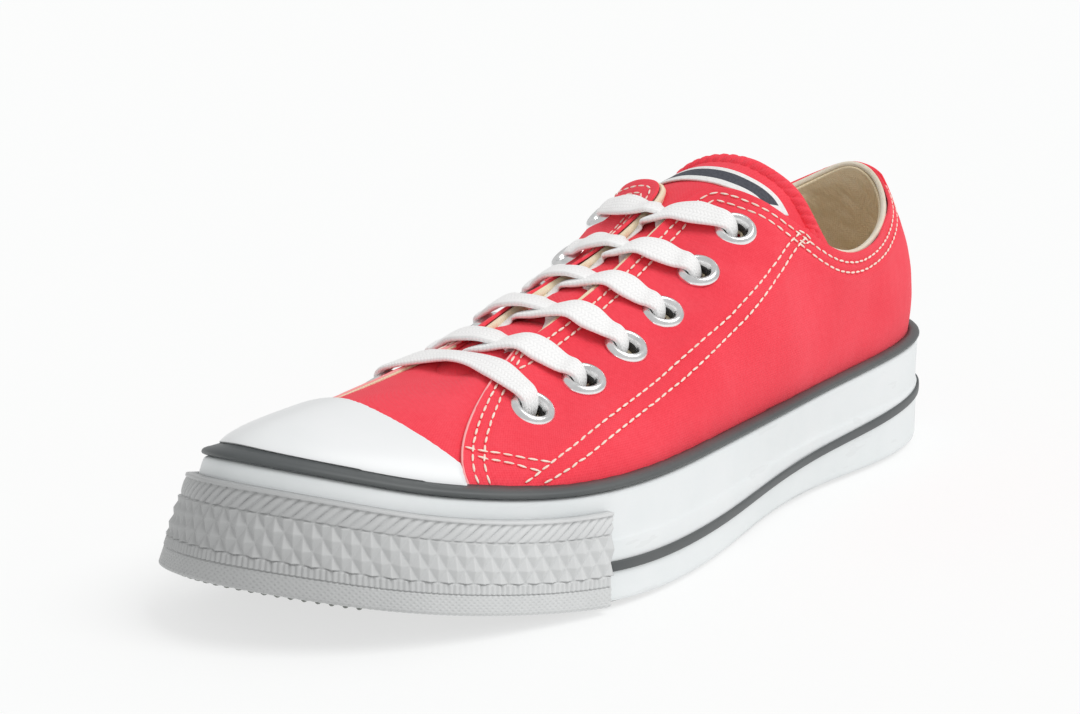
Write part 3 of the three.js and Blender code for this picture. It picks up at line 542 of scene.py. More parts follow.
# the bumper is painted darker towards the tip of the toe: a painted shade
bumperRubber = rubberMaterial("bumperRubber", [(0.60, 0.61, 0.61), (0.66, 0.67, 0.67), (0.72, 0.73, 0.73)],
                              0.40, 0.05, tipShade=(-0.142, -0.085, 0.62))
darkRubber = rubberMaterial("darkRubber", [(0.06, 0.068, 0.07), (0.08, 0.088, 0.09), (0.105, 0.112, 0.112)],
                            0.48, 0.15)
treadRubber = rubberMaterial("treadRubber", [(0.13, 0.14, 0.135), (0.17, 0.18, 0.17), (0.22, 0.23, 0.21)],
                             0.75, 0.4)


def threadMaterial():
    material, tree, shader = newMaterial("stitchThread", (0.96, 0.79, 0.67), 0.8)
    tone = noiseOn(tree, objectVector(tree), 700, 2, 0.5)
    colour = rampOn(tree, tone, [(0.3, (0.90, 0.68, 0.56)), (0.7, (0.99, 0.88, 0.77))])
    tree.links.new(colour, shader.inputs["Base Color"])
    shader.inputs["Sheen Weight"].default_value = 0.3
    return material


def laceMaterial():
    # braid: slanting picks that change side from one rib to the next
    material, tree, shader = newMaterial("laceCotton", (0.90, 0.89, 0.885), 0.85)
    x, y = uvAxes(tree, 0.0011, 0.0010)
    rib = maths(tree, "FLOORED_MODULO", maths(tree, "FLOOR", x), 2.0)
    side = maths(tree, "MULTIPLY_ADD", rib, 2.0, -1.0)
    slant = maths(tree, "MULTIPLY", maths(tree, "FRACT", x), side)
    pick = maths(tree, "ADD", y, maths(tree, "MULTIPLY", slant, 0.9))
    height = maths(tree, "MULTIPLY", maths(tree, "POWER", hump(tree, pick), 0.6),
                   maths(tree, "POWER", hump(tree, x), 0.5))
    # the braid's grooves are painted darker than its ridges: a painted shade
    colour = rampOn(tree, height, [(0.0, (0.84, 0.835, 0.83)), (0.5, (0.96, 0.955, 0.95))])
    tree.links.new(colour, shader.inputs["Base Color"])
    tree.links.new(bumpOn(tree, height, 0.4, 0.0003), shader.inputs["Normal"])
    shader.inputs["Sheen Weight"].default_value = 0.35
    return material


def metalMaterial():
    material, tree, shader = newMaterial("eyeletMetal", (0.88, 0.89, 0.89), 0.2, 1.0)
    wear = noiseOn(tree, objectVector(tree), 420, 4, 0.6)
    colour = rampOn(tree, wear, [(0.3, (0.78, 0.79, 0.79)), (0.6, (0.93, 0.935, 0.935))])
    tree.links.new(colour, shader.inputs["Base Color"])
    tree.links.new(maths(tree, "MULTIPLY_ADD", wear, 0.22, 0.1), shader.inputs["Roughness"])
    tree.links.new(bumpOn(tree, wear, 0.05, 0.0002), shader.inputs["Normal"])
    return material


def labelMaterial():
    # a plain woven patch with a plain dark band across it
    material, tree, shader = newMaterial("labelWeave", (0.88, 0.88, 0.87), 0.7)
    x, y = uvAxes(tree, 1.0, 1.0)
    inside, ends = maths(tree, "COMPARE", y, 0.52, 0.27), maths(tree, "COMPARE", x, 0.5, 0.44)
    band = maths(tree, "MULTIPLY", inside, ends)
    thread = noiseOn(tree, objectVector(tree), 1500, 2, 0.6)
    white = rampOn(tree, thread, [(0.3, (0.78, 0.78, 0.77)), (0.7, (0.92, 0.92, 0.91))])
    dark = rampOn(tree, thread, [(0.3, (0.035, 0.04, 0.055)), (0.7, (0.07, 0.075, 0.095))])
    tree.links.new(mixOn(tree, band, white, dark), shader.inputs["Base Color"])
    tree.links.new(bumpOn(tree, thread, 0.3, 0.0003), shader.inputs["Normal"])
    return material


stitchThread = threadMaterial()
laceCotton = laceMaterial()
eyeletMetal = metalMaterial()
# the eyelets' barrels: dark, rougher metal, its darkness a painted shade down the bore
boreShade = newMaterial("boreShade", (0.09, 0.09, 0.09), 0.5, 0.6)[0]
# pale pink strands along cut edges and folds: real fraying, its light colour a painted highlight
frayHighlightThread = newMaterial("frayHighlightThread", (0.95, 0.42, 0.42), 0.95)[0]
labelWeave = labelMaterial()
print("materials ready")

# Eyelets: their places follow the edge of the throat, as the solids' do
eyelets = {"count": 6, "pitch": 18.55, "inset": 17, "setback": 4, "radius": 5.75, "bore": 2.75,
           "rise": 1.5}


def placeEyelets():
    steps = np.arange(10.8, 4.6, -0.02)
    levels = insetV(steps, eyelets["inset"], throatSamples)
    line = lastSurface(steps, levels)
    k = int(np.argmax(line[:, 1] >= edgeLoop(lastRow)[1] + eyelets["setback"]))
    chosen = [k]
    while len(chosen) < eyelets["count"]:
        last = line[chosen[-1]]
        while np.linalg.norm(line[k] - last) < eyelets["pitch"]:
            k += 1
        chosen.append(k)
    places = {}
    for number, k in enumerate(chosen, 1):
        for side in (1, -1):
            u = steps[k] if side > 0 else turn - steps[k]
            point = shell(u, levels[k], upper["quarterLift"])
            places[side, number] = {"point": point, "normal": lastNormal(u, levels[k])}
    return places


eyeletPlaces = placeEyelets()
eyeletCentres = np.array([place["point"] for place in eyeletPlaces.values()])


def clearOfEyelets(points, radius=4.3):
    gaps = np.linalg.norm(points[:, None, :] - eyeletCentres[None], axis=-1)
    return gaps.min(1) > radius


def makeEyelet(side, number):
    place = eyeletPlaces[side, number]
    r, bore, rise = eyelets["radius"], eyelets["bore"], eyelets["rise"]
    # radius and height of the profile: the flange's underside, its crest and the barrel
    profile = [(r - 0.15, -0.25), (r, 0.0), (r - 0.05, 0.35), (r - 0.4, 0.9), (r - 1.0, rise - 0.1),
               (r - 1.45, rise), (r - 1.9, rise - 0.15), (bore + 0.45, 0.55), (bore + 0.1, -0.4),
               (bore, -1.6), (bore, -3.2), (bore + 0.4, -3.6), (bore + 0.9, -3.4), (bore + 0.6, -2.8),
               (bore + 0.5, -0.4)]
    bm = bmesh.new()
    verts = [bm.verts.new((x, 0, z)) for x, z in profile]
    edges = [bm.edges.new(pair) for pair in zip(verts, verts[1:] + verts[:1])]
    bmesh.ops.spin(bm, geom=verts + edges, cent=(0, 0, 0), axis=(0, 0, 1), angle=2 * math.pi, steps=36,
                   use_merge=True)
    bmesh.ops.remove_doubles(bm, verts=bm.verts, dist=1e-4)
    bmesh.ops.recalc_face_normals(bm, faces=bm.faces)
    turnTo = Vector((0, 0, 1)).rotation_difference(Vector(place["normal"])).to_matrix().to_4x4()
    centre = toFrame(place["point"])
    bm.transform(Matrix.Translation(centre) @ turnTo @ Matrix.Scale(0.001, 4))
    for face in bm.faces:
        below = (centre - np.array(face.calc_center_median())) @ place["normal"] * 1000
        face.material_index = int(below > 0.3)  # the barrel is painted dark and rougher than the ring: a painted shade down the bore
    word = "lateral" if side > 0 else "medial"
    piece = finishPiece(bm, f"eyelet_ring_{word}_{number}", eyeletMetal)
    piece.data.materials.append(boreShade)
    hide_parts(f"eyelet_{word}_{number}")


for side, number in eyeletPlaces:
    makeEyelet(side, number)
print("eyelets ready")

# Seams: (u, v) along the lateral side; the medial ones mirror them
seams = {"pitch": 3.0, "stitch": 2.55, "width": 0.64, "height": 0.42, "edgeRows": (2.7, 5.4),
         "frontRows": (2.4, 5.2), "heelRows": (2.4, 5.0), "groove": 0.28}
diagonalSeams = [
    [(9.13, 0.12), (8.8, 0.28), (8.41, 0.38), (7.96, 0.44), (7.45, 0.48), (6.93, 0.5), (6.42, 0.5),
     (5.94, 0.516), (5.53, 0.584), (5.11, 0.7), (4.66, 0.912), (4.6, 0.955)],
    [(8.92, 0.11), (8.47, 0.232), (8.05, 0.316), (7.57, 0.376), (7.06, 0.408), (6.55, 0.412), (6.1, 0.432),
     (5.68, 0.482), (5.3, 0.572), (4.92, 0.712), (4.49, 0.952)],
]
crossSeams = [
    [(9.86, 0.41), (9.71, 0.392), (9.44, 0.372), (9.16, 0.332), (8.83, 0.272)],
    [(9.68, 0.345), (9.59, 0.332), (9.31, 0.296), (8.95, 0.212)],
]
boxSeam = [(4.61, 0.956), (4.53, 0.965), (4.43, 0.955), (4.52, 0.905), (4.62, 0.9)]


def frontU(v):
    # the quarter's front edge over the vamp
    return 9.62 + 0.6 * np.asarray(v, float)


def uPerMm(u, v):
    # how far in u one millimetre round the shoe is
    return 0.1 / np.linalg.norm(lastSurface(u - 0.1, v) - lastSurface(u, v), axis=1)


def frontSeam(distance):
    v = np.linspace(0.1, 0.96, 60)
    return np.stack([frontU(v) - distance * uPerMm(frontU(v), v), v], -1)


def edgeSeam(distance):
    u = np.linspace(1.05, 9.9, 220)
    return np.stack([u, insetV(u, distance)], -1)


quarterLift = upper["quarterLift"]
heelStayU = 0.93
seamRuns = [frontSeam(distance) for distance in seams["frontRows"]]
seamRuns += [np.array(run) for run in diagonalSeams + crossSeams]
seamRuns += [edgeSeam(distance) for distance in seams["edgeRows"]] + [np.array(boxSeam)]
seamPaths = []
for run in seamRuns:
    dense = smoothRun(np.column_stack([lastSurface(run[:, 0], run[:, 1]), run]), 400)[:, 3:]
    for u in (dense[:, 0], turn - dense[:, 0]):
        seamPaths.append((u, dense[:, 1], quarterLift))
for offset in seams["heelRows"]:
    v = np.linspace(0.1, 0.9, 120)
    u = heelStayU - offset * uPerMm(heelStayU, v)
    seamPaths += [(sign * u, v, quarterLift + upper["stayLift"]) for sign in (1, -1)]
seamPoints = np.concatenate([lastSurface(u, v) for u, v, lift in seamPaths])
seamTree = KDTree(len(seamPoints))
for k, point in enumerate(seamPoints):
    seamTree.insert(point, k)
seamTree.balance()


def seamGroove(points):
    # cloth is drawn in along its seams and swells between them
    flat = points.reshape(-1, 3)
    gaps = np.array([seamTree.find(point)[2] for point in flat.tolist()]).reshape(points.shape[:-1])
    return -seams["groove"] * np.exp(-(gaps / 0.8) ** 2) + 0.12 * np.exp(-((gaps - 2.2) / 1.4) ** 2)


# Creases: from u, v to u, v, then the trough's depth and half width in millimetres
creases = [(6.5, 0.69, 5.85, 0.6, 0.55, 3.2), (5.85, 0.72, 5.25, 0.69, 0.5, 3.4),
           (7.2, 0.68, 6.6, 0.58, 0.45, 3), (6.1, 0.93, 5.5, 0.92, 0.35, 3),
           (4.7, 0.63, 3.4, 0.5, 0.9, 11), (8.2, 0.18, 6.6, 0.13, 0.4, 5)]


def creaseDepth(points):
    # soft troughs, each between two low ridges, the same on both sides of the shoe
    total = np.zeros(points.shape[:-1])
    for fromU, fromV, toU, toV, depth, half in creases:
        ends = np.array([fromU, toU])
        for u in (ends, turn - ends):
            a, b = lastSurface(u, [fromV, toV])
            share = np.clip((points - a) @ (b - a) / ((b - a) @ (b - a)), 0, 1)
            gap = np.linalg.norm(points - a - share[..., None] * (b - a), axis=-1) / half
            total += depth * (0.4 * np.exp(-(gap - 1.9) ** 2) - np.exp(-gap ** 2))
    return total


def stitchRun(u, v, lift):
    bm = bmesh.new()
    points = shell(u, v, lift + creaseDepth(lastSurface(u, v)))
    lengths = lengthsAlong(points, 0)
    count = max(2, int(round(lengths[-1] / seams["pitch"])))
    for k in range(count):
        middle = (k + 0.5) * lengths[-1] / count
        half = seams["stitch"] / 2 * dice.uniform(0.92, 1.06)
        a, b, c = (np.array([np.interp(middle + d, lengths, row) for row in points.T])
                   for d in (-half, 0, half))
        normal = Vector(lastNormal(np.interp(middle, lengths, u), np.interp(middle, lengths, v)))
        along = Vector(c - a).normalized()
        side = normal.cross(along).normalized()
        along = Matrix.Rotation(math.radians(dice.normal(0, 2.5)), 3, normal) @ along
        top = along.cross(side)
        place = Matrix((side * seams["width"] / 2, top * -seams["height"] / 2, along * half)).transposed()
        centre = Vector(b) + normal * 0.02
        matrix = Matrix.Translation(toFrame(centre)) @ (place * 0.001).to_4x4()
        bmesh.ops.create_uvsphere(bm, u_segments=6, v_segments=5, radius=1, matrix=matrix)
    bmesh.ops.recalc_face_normals(bm, faces=bm.faces)
    return bm


rows = [stitchRun(u, v, lift + 0.02) for u, v, lift in seamPaths]
finishPiece(joinMeshes(rows), "stitches", stitchThread)
print("stitches ready")

# The canvas panels of the upper
panels = {"vampTuck": 0.55, "canvas": 0.85, "wrinkle": 0.22, "columns": 520, "rows": 84}
lining = {"crumple": 0.15, "heelCrumple": 0.9, "heelSpread": 4.2}


def wrinkles(base, v, height, seed):
    # soft waves in the cloth, which fade out towards the foxing
    broad = height * ripple(base, 26, seed) * smoothStep((v - 0.08) / 0.2)
    return broad + 0.05 * ripple(base, 7, seed + 1)


def canvasSheet(name, u, v, lift, depth, edge, keep=None):
    bm = gridMesh(shell(u, v, lift), clothUv(lastSurface(u, v)), flip=True, keep=keep)
    return thickness(finishPiece(bm, name, redCanvas), depth, edge)


def makeQuarters():
    v = np.linspace(0, 1, panels["rows"])[:, None]
    u = np.linspace(-1, 1, panels["columns"]) * frontU(v)
    base = lastSurface(u, v)
    lift = quarterLift + wrinkles(base, v, panels["wrinkle"], 3) + seamGroove(base) + creaseDepth(base)
    piece = canvasSheet("quarters", u, v, lift, panels["canvas"], 0.32, clearOfEyelets)
    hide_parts("upper")


def makeVamp():
    v = np.linspace(0, 1, 60)[:, None]
    start = frontU(v) - panels["vampTuck"]
    u = start + (turn - 2 * start) * np.linspace(0, 1, 220)
    canvasSheet("vamp", u, v, wrinkles(lastSurface(u, v), v, 0.16, 8), panels["canvas"], 0.3)


def makeHeelStay():
    v = np.linspace(0.1, 0.985, 60)[:, None]
    u = np.linspace(-heelStayU, heelStayU, 44)
    base = lastSurface(u, v)
    lift = quarterLift + upper["stayLift"] + seamGroove(base) + 0.06 * ripple(base, 9, 5)
    canvasSheet("heel_stay", u, v, lift, 0.8, 0.3)


def makeLining():
    # smooth at the throat, crumpled round the heel
    u = np.linspace(0, turn, 361)
    v = np.linspace(1, 0, 60)[:, None]
    base = lastSurface(u, v)
    heel = np.exp(-(np.minimum(u, turn - u) / lining["heelSpread"]) ** 2)
    folds = np.abs(ripple(base * np.array([1, 1, 0.35]), 15, 21)) + 0.5 * np.abs(ripple(base, 8, 22))
    crumple = (lining["crumple"] + lining["heelCrumple"] * heel) * folds * smoothStep((1 - v) / 0.12)
    wall = shell(u, v, -upper["wall"] - crumple)
    foot = seatPoint(u, upper["quarterLift"] - upper["wall"])[None]
    points = np.concatenate([wall, wall[-1:] * 0.5 + foot * 0.5, foot])
    bm = gridMesh(points, clothUv(points), wrapColumns=True, flip=True,
                  keep=lambda middles: clearOfEyelets(middles, 3.6))
    thickness(finishPiece(bm, "lining", tanLining), -0.7, 0)


makeQuarters()
makeVamp()
makeHeelStay()
makeLining()
print("upper ready")


# Runs of cord-like pieces: laces, bindings
def sweepRun(points, normals, widths, depths, count, sides=18, ribs=None, squareness=2.6):
    # a flat rounded section carried along the points; ribs gives a relief from angle and length
    widths, depths = (np.broadcast_to(values, len(points)) for values in (widths, depths))
    run = smoothRun(np.column_stack([points, normals, widths, depths]), count)
    centre, facing = run[:, :3], run[:, 3:6]
    along = unit(np.gradient(centre, axis=0))
    across = unit(np.cross(along, facing))
    outward = np.cross(across, along)
    length = lengthsAlong(centre, 0)
    angle = np.linspace(0, 2 * math.pi, sides + 1)
    x, y = (np.sign(wave) * np.abs(wave) ** (2 / squareness) for wave in (np.cos(angle), np.sin(angle)))
    bulge = 1 if ribs is None else ribs(angle[None, :], length[:, None])
    rings = (centre[:, None] + across[:, None] * (x[None, :] * run[:, 6:7] / 2)[..., None]
             + outward[:, None] * (y[None, :] * run[:, 7:8] / 2 * bulge)[..., None])
    # the uv reaches 3.4 mm to either side on top, and on round the back
    around = np.where(np.sin(angle) >= -1e-6, x, 2 * np.sign(x) - x) * 3.4
    uv = np.stack(np.broadcast_arrays(around[None, :], length[:, None]), -1) / 1000
    bm = gridMesh(rings, uv, wrapColumns=True)
    closeEnds(bm)
    return bm


def rimRun(u, lift, rise):
    # points along the opening's edge, and the way the wall runs up to it
    upwards = unit(lastSurface(u, 1.0) - lastSurface(u, 0.98))
    return shell(u, 1.0, lift) + upwards * rise, upwards


def makeCollarBinding():
    points, upwards = rimRun(np.linspace(-5.35, 5.35, 200), -0.75, 0.1)
    bm = sweepRun(points, upwards, 1.7, 1.5, 420, 14)
    finishPiece(bm, "collar_binding", creamTape)


def makeThroatEdge():
    # the lining's cut edge shows along both stays, and along the medial quarter's front
    lateral = np.linspace(5.2, 9.95, 160)
    parts = []
    for u in (lateral, turn - lateral):
        wave = 0.1 + 0.12 * ripple(lastSurface(u, 1.0), 9, 61)
        points, upwards = rimRun(u, -0.9, wave[:, None])
        parts.append(sweepRun(points, upwards, 1.9, 1.6, 320, 10))
    v = np.linspace(0.3, 0.97, 70)
    u = turn - frontU(v) - 0.03
    parts.append(sweepRun(shell(u, v, 0.15), lastNormal(u, v), 0.9, 0.8, 200, 8))
    finishPiece(joinMeshes(parts), "throat_edge", tanLining)


def makeFrontFrayHighlight():
    # a thin strand along each quarter's front edge: real fraying, painted pale as a highlight
    v = np.linspace(0.09, 0.985, 80)
    lateral = frontU(v) + 0.004
    parts = []
    for u in (lateral, turn - lateral):
        points = shell(u, v, quarterLift - 0.25 + 0.06 * ripple(lastSurface(u, v), 3, 71))
        parts.append(sweepRun(points, lastNormal(u, v), 0.55, 0.75, 260, 8))
    finishPiece(joinMeshes(parts), "frayed_edge_highlights", frayHighlightThread)


makeCollarBinding()
makeThroatEdge()
makeFrontFrayHighlight()

# The tongue
tongue = {"thickness": 2.4, "crown": 0.6, "length": 126, "topWidth": 56, "topHeight": 87.5,
          "tuck": (17, 12)}
tape = {"width": 4.8, "depth": 4.4, "inset": 1.2, "rib": 2.8, "relief": 0.62, "start": 0.72}
label = {"across": (0.12, 0.88), "along": (0.862, 0.93), "lift": 0.75, "thickness": 0.6}
# how far along, how high, half width, drop of the sides, sweep of the sides
tongueTopRows = [(0.83, -0.1, 0.39, 0.2, 2), (0.92, 0.48, 0.44, 0.3, 3), (1, 1, 0.48, 0.39, 4)]


def tongueGrid():
    depth = -upper["wall"] - 3 * upper["clearance"] - tongue["thickness"] / 2

    def under(u, distance):
        v = insetV([u], distance, throatSamples)[0]
        return shell(u, v, depth)

    rows = []
    for distance in (8, 2.5):
        rows.append([under(u, distance) for u in (10.2, 10.8, 11.4, 12, 12.6, 13.2, 13.8)])
    for u in (10.6, 9.8, 9, 8.2, 7.4, 6.6):
        wide, narrow = tongue["tuck"]
        tuck = wide + (narrow - wide) * smoothStep((u - 9) / 1.6)
        crown = tongue["crown"] * smoothStep((11.2 - u) / 2.4)
        lateral = shell(u, 1.0, depth)
        medial = shell(turn - u, 1.0, depth)
        middle = (lateral + medial) / 2 + upward * crown
        rows.append([under(u, tuck), under(u, tuck / 2), lateral, middle, medial,
                     under(turn - u, tuck / 2), under(turn - u, tuck)])
    base = edgeLoop(lastRow)
    for reach, high, half, drop, sweep in tongueTopRows:
        crest = upper["instepHeight"] + high * (tongue["topHeight"] - upper["instepHeight"])
        row = []
        for side in (1, 0.7, 0.35, 0, -0.35, -0.7, -1):
            fall = 1 - math.sqrt(1 - (side * 0.94) ** 2)
            y = base[1] + reach * tongue["length"] + sweep * side ** 2
            row.append((side * half * tongue["topWidth"], y, crest - fall * drop * tongue["topHeight"]))
        rows.append(row)
    across = np.array([smoothRun(np.array(row), 49) for row in rows])
    return np.stack([smoothRun(across[:, k], 150) for k in range(49)], 1)


def gridNormals(points):
    normal = unit(np.cross(np.gradient(points, axis=1), np.gradient(points, axis=0)))
    return normal * np.where(normal[..., 2:] < 0, -1, 1)


tongueMiddle = tongueGrid()
tongueNormals = gridNormals(tongueMiddle)


def tongueAt(across, along, lift):
    # across 0..1 from lateral to medial, along 0..1 up the tongue
    rows, columns = tongueMiddle.shape[:2]
    r = np.clip(along * (rows - 1), 0, rows - 1.001)
    c = np.clip(across * (columns - 1), 0, columns - 1.001)
    i, j = r.astype(int), c.astype(int)
    a, b = (r - i)[..., None], (c - j)[..., None]

    def pick(grid):
        return (grid[i, j] * (1 - a) * (1 - b) + grid[i + 1, j] * a * (1 - b)
                + grid[i, j + 1] * (1 - a) * b + grid[i + 1, j + 1] * a * b)

    return pick(tongueMiddle) + pick(tongueNormals) * np.asarray(lift)[..., None]


def makeTongue():
    lift = tongue["thickness"] / 2 + 0.12 * ripple(tongueMiddle, 16, 31)
    bm = gridMesh(tongueMiddle + tongueNormals * lift[..., None], clothUv(tongueMiddle))
    faceUp(bm)
    piece = thickness(finishPiece(bm, "tongue_cloth", redCanvas), tongue["thickness"], 0.5)
    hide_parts("tongue")


def makeTongueBinding():
    # up one side, over the top and down the other, with a thin pale strand along its fold: frayed threads,
    # their pale colour a painted highlight
    sideUp = np.linspace(tape["start"], 0.985, 26)
    across = np.concatenate([np.full(26, 0.012), np.linspace(0.02, 0.98, 40), np.full(26, 0.988)])
    along = np.concatenate([sideUp, np.full(40, 0.988), sideUp[::-1]])
    points = tongueAt(across, along, 0)
    normals = tongueAt(across, along, 1) - points
    for _ in range(6):
        points[1:-1] = (points[:-2] + points[1:-1] + points[2:]) / 3
    inwards = unit(np.cross(np.gradient(points, axis=0), normals))
    if inwards[45] @ (tongueMiddle[100, 24] - points[45]) < 0:
        inwards = -inwards
    middle = points + inwards * tape["inset"]

    def ribs(angle, length):
        slant = math.pi * length / tape["rib"] + 1.3 * np.cos(angle)
        return 0.66 + tape["relief"] * np.abs(np.sin(slant)) ** 0.5

    bm = sweepRun(middle, normals, tape["width"], tape["depth"], 620, 20, ribs, 2.4)
    finishPiece(bm, "tongue_binding", redCanvas)
    fold = middle - inwards * (tape["width"] / 2 - 0.05) + normals * 0.7
    bm = sweepRun(fold, normals, 0.8, 1.0, 420, 8)
    finishPiece(bm, "tongue_fray_highlight", frayHighlightThread)


def makeLabel():
    columns, rows = 60, 16
    across, along = np.meshgrid(np.linspace(*label["across"], columns), np.linspace(*label["along"], rows))
    points = tongueAt(across, along, tongue["thickness"] / 2 + label["lift"])
    uv = np.stack(np.meshgrid(np.linspace(0, 1, columns), np.linspace(0, 1, rows)), -1)
    bm = gridMesh(points, uv)
    faceUp(bm)
    piece = thickness(finishPiece(bm, "tongue_patch", labelWeave), label["thickness"], 0.2)
    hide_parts("tongue_label")


def makeVampRoot():
    # the vamp's cloth runs on under the lacing, down to the tongue
    t = np.linspace(0, 1, 70)
    u = 10.05 + (turn - 20.1) * t
    rim = shell(u, 1.0, 0)
    foot = tongueAt(0.1 + 0.8 * t, np.full(len(t), 0.3), tongue["thickness"] / 2 + 0.2)
    rows = [shell(u, 0.94, -0.15)]
    for share in np.linspace(0, 1, 16):
        arch = 1.2 * math.sin(math.pi * share) - 0.15
        rows.append(lifted(rim * (1 - share) + foot * share, arch))
    points = np.array(rows)
    bm = gridMesh(points, clothUv(points))
    faceUp(bm)
    thickness(finishPiece(bm, "vamp_root", redCanvas), 0.8, 0)


makeTongue()
makeVampRoot()
makeTongueBinding()
makeLabel()
print("tongue ready")

# Laces
laces = {"width": 9.0, "depth": 2.1, "slant": 5.0, "lateralStart": 0.5, "medialStart": 0.7,
         "arch": 0.3, "over": 1.1, "under": -0.4}
# how the last stretch goes over the ring and down the bore: reach, lift, width, depth
endRows = [(6.4, 2.15, 7.0, 1.6), (3.7, 2.35, 6.2, 1.8), (1.9, 1.55, 5.2, 2.1), (0.75, -0.6, 4.6, 2.3),
           (0.45, -3.4, 4.3, 2.2), (1.2, -5.4, 4.6, 1.8)]


def edgeUAt(y, side):
    u = np.linspace(6.6, 11.9, 400)
    lateral = float(np.interp(-y, -edgeLoop(u)[:, 1], u))
    return lateral if side > 0 else turn - lateral


def intoEyelet(side, number, away):
    place = eyeletPlaces[side, number]
    point, normal = place["point"], place["normal"]
    towards = away - point
    towards = unit(towards - normal * (towards @ normal))
    rows = []
    for reach, lift, width, depth in endRows:
        tilt = 0 if lift > 2 else 1.6 if lift < 1 else 0.7
        rows.append((point + towards * reach + normal * lift, unit(normal - towards * tilt), width, depth))
    return rows


def strandRows(side, number):
    # from under the far stay, over the near edge and into the eyelet
    y = eyeletPlaces[side, number]["point"][1]
    before = eyeletPlaces[side, number - 1]["point"][1]
    startU = edgeUAt(before + (y - before) * laces["lateralStart" if side > 0 else "medialStart"], -side)
    hiddenV = insetV([startU], 5.0, throatSamples)[0]
    edgeU = edgeUAt(y - laces["slant"], side)
    level = laces["arch"] + laces["under" if side > 0 else "over"]
    overEdge = shell(edgeU, 1.0, quarterLift + 0.95)
    middle = (shell(startU, 1.0, -1.0) + overEdge) / 2 + upward * level
    ending = intoEyelet(side, number, overEdge)
    halfway = (overEdge + ending[0][0]) / 2 + lastNormal(edgeU, 0.97) * 0.55
    full = laces["width"], laces["depth"]
    return [(shell(startU, hiddenV, -2.2), lastNormal(startU, hiddenV), 8.0, 0.8),
            (shell(startU, 1.0, -1.75), upward, 8.4, 1.2), (middle, upward, *full),
            (overEdge, (lastNormal(edgeU, 1.0) + upward) / 2, *full),
            (halfway, lastNormal(edgeU, 0.95), *full)] + ending


def strandMesh(rows, count=120):
    points, normals, widths, depths = (np.array([row[k] for row in rows]) for k in range(4))
    return sweepRun(points, normals, widths, depths, count, 20)


def makeBar():
    sides = []
    for side in (1, -1):
        edgeU = edgeUAt(eyeletPlaces[side, 1]["point"][1] + 1.5, side)
        over = shell(edgeU, 1.0, quarterLift + 1.3)
        ending = intoEyelet(side, 1, over)
        halfway = (over + ending[0][0]) / 2 + lastNormal(edgeU, 0.97) * 0.7
        sides.append([(over, (lastNormal(edgeU, 1.0) + upward) / 2, 8.4, 1.7),
                      (halfway, lastNormal(edgeU, 0.95), 8.2, 1.7)] + ending)
    middle = (sides[0][0][0] + sides[1][0][0]) / 2 + upward * 0.5
    rows = sides[1][::-1] + [(middle, upward, 8.6, 1.7)] + sides[0]
    piece = finishPiece(strandMesh(rows, 200), "lace_straight_1", laceCotton)
    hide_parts("lace_bar_1")


def makeCross(number):
    both = joinMeshes([strandMesh(strandRows(side, number)) for side in (1, -1)])
    piece = finishPiece(both, f"lace_crossing_{number}", laceCotton)
    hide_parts(f"lace_cross_{number}")


makeBar()
for number in range(2, eyelets["count"] + 1):
    makeCross(number)
print("laces ready")

# The rubber
rubber = {"stripeHeight": 2.4, "stripeProud": 0.2, "lowerStripe": 2.5}
bumper = {"thickness": 2.6, "flare": 0.9, "length": 66.5, "drop": 4, "relief": 1.25}
cap = {"length": 37.9, "centre": -6, "bow": 0.006, "thickness": 1.5, "start": 9.6}
nubs = {"start": 10.75, "stop": 13.6, "pitch": 3.0}
around = np.linspace(0, turn, 321)


def ringPiece(rows, name, material, node):
    # rows of points round the whole shoe, in order round the section
    points = np.array(rows + rows[:1])
    bm = gridMesh(points, clothUv(points), wrapRows=True, wrapColumns=True)
    bmesh.ops.recalc_face_normals(bm, faces=bm.faces)
    piece = finishPiece(bm, name, material)
    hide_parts(node)


def atFoot(u, distance, height):
    point = outwards(footLoop, u, distance)
    point[..., 2] += height + archHeight(shareAt(point[..., 1]))
    return point


def makeFoxing():
    step, inset, ground = sole["step"], sole["treadInset"], sole["groundGap"]

    def wall(low, high, count, depth):
        # gently uneven rubber
        return [foxing(around, share, depth + 0.1 * ripple(foxing(around, share, 0), 34, 41))
                for share in np.linspace(low, high, count)]

    foot = [(-inset, sole["treadTop"]), (-inset, ground), (-1.3, ground), (-0.6, ground + 0.1)]
    belowLine = [(0.562, -0.03), (0.575, -step * 0.55), (0.59, -step)]
    rim = [(0.965, -step - 0.05), (0.985, -step - 0.25), (0.996, -step - 0.7), (1.0, -step - 1.2),
           (1.0, -sole["lip"])]
    rows = [atFoot(around, *place) for place in foot]
    rows += [foxing(around, 0.05, -0.2), foxing(around, 0.08, 0)] + wall(0.12, 0.55, 9, 0)
    rows += [foxing(around, *place) for place in belowLine] + wall(0.62, 0.94, 8, -step)
    rows += [foxing(around, *place) for place in rim]
    rows += [seatPoint(around, upper["quarterLift"] + 0.3), lifted(seatPoint(around, -4.0), -1.0)]
    ringPiece(rows, "foxing", whiteRubber, "midsole")


def makeTopStripe():
    gap, proud = upper["clearance"], rubber["stripeProud"]
    # distance out from the rim, and height over it
    section = [(-sole["lip"], 0), (-1.0, 0), (proud - 0.6, 0.02), (proud - 0.2, 0.25), (proud, 0.65),
               (proud - 0.15, 1.1), (proud - 0.55, 1.5), (-1.2, 1.8), (-2.0, 1.95)]
    rows = [lifted(outwards(rimLoop, around, out), gap + high) for out, high in section]
    rows.append(shell(around, vAtHeight(around, rubber["stripeHeight"] - gap), quarterLift + 0.1))
    ringPiece(rows, "top_line", darkRubber, "top_stripe")


def bumperEndU():
    u = np.linspace(5, 12, 1400)
    return float(np.interp(heelEnd - bumper["length"], -footLoop(u)[:, 1], u))


bumperEnd = bumperEndU()


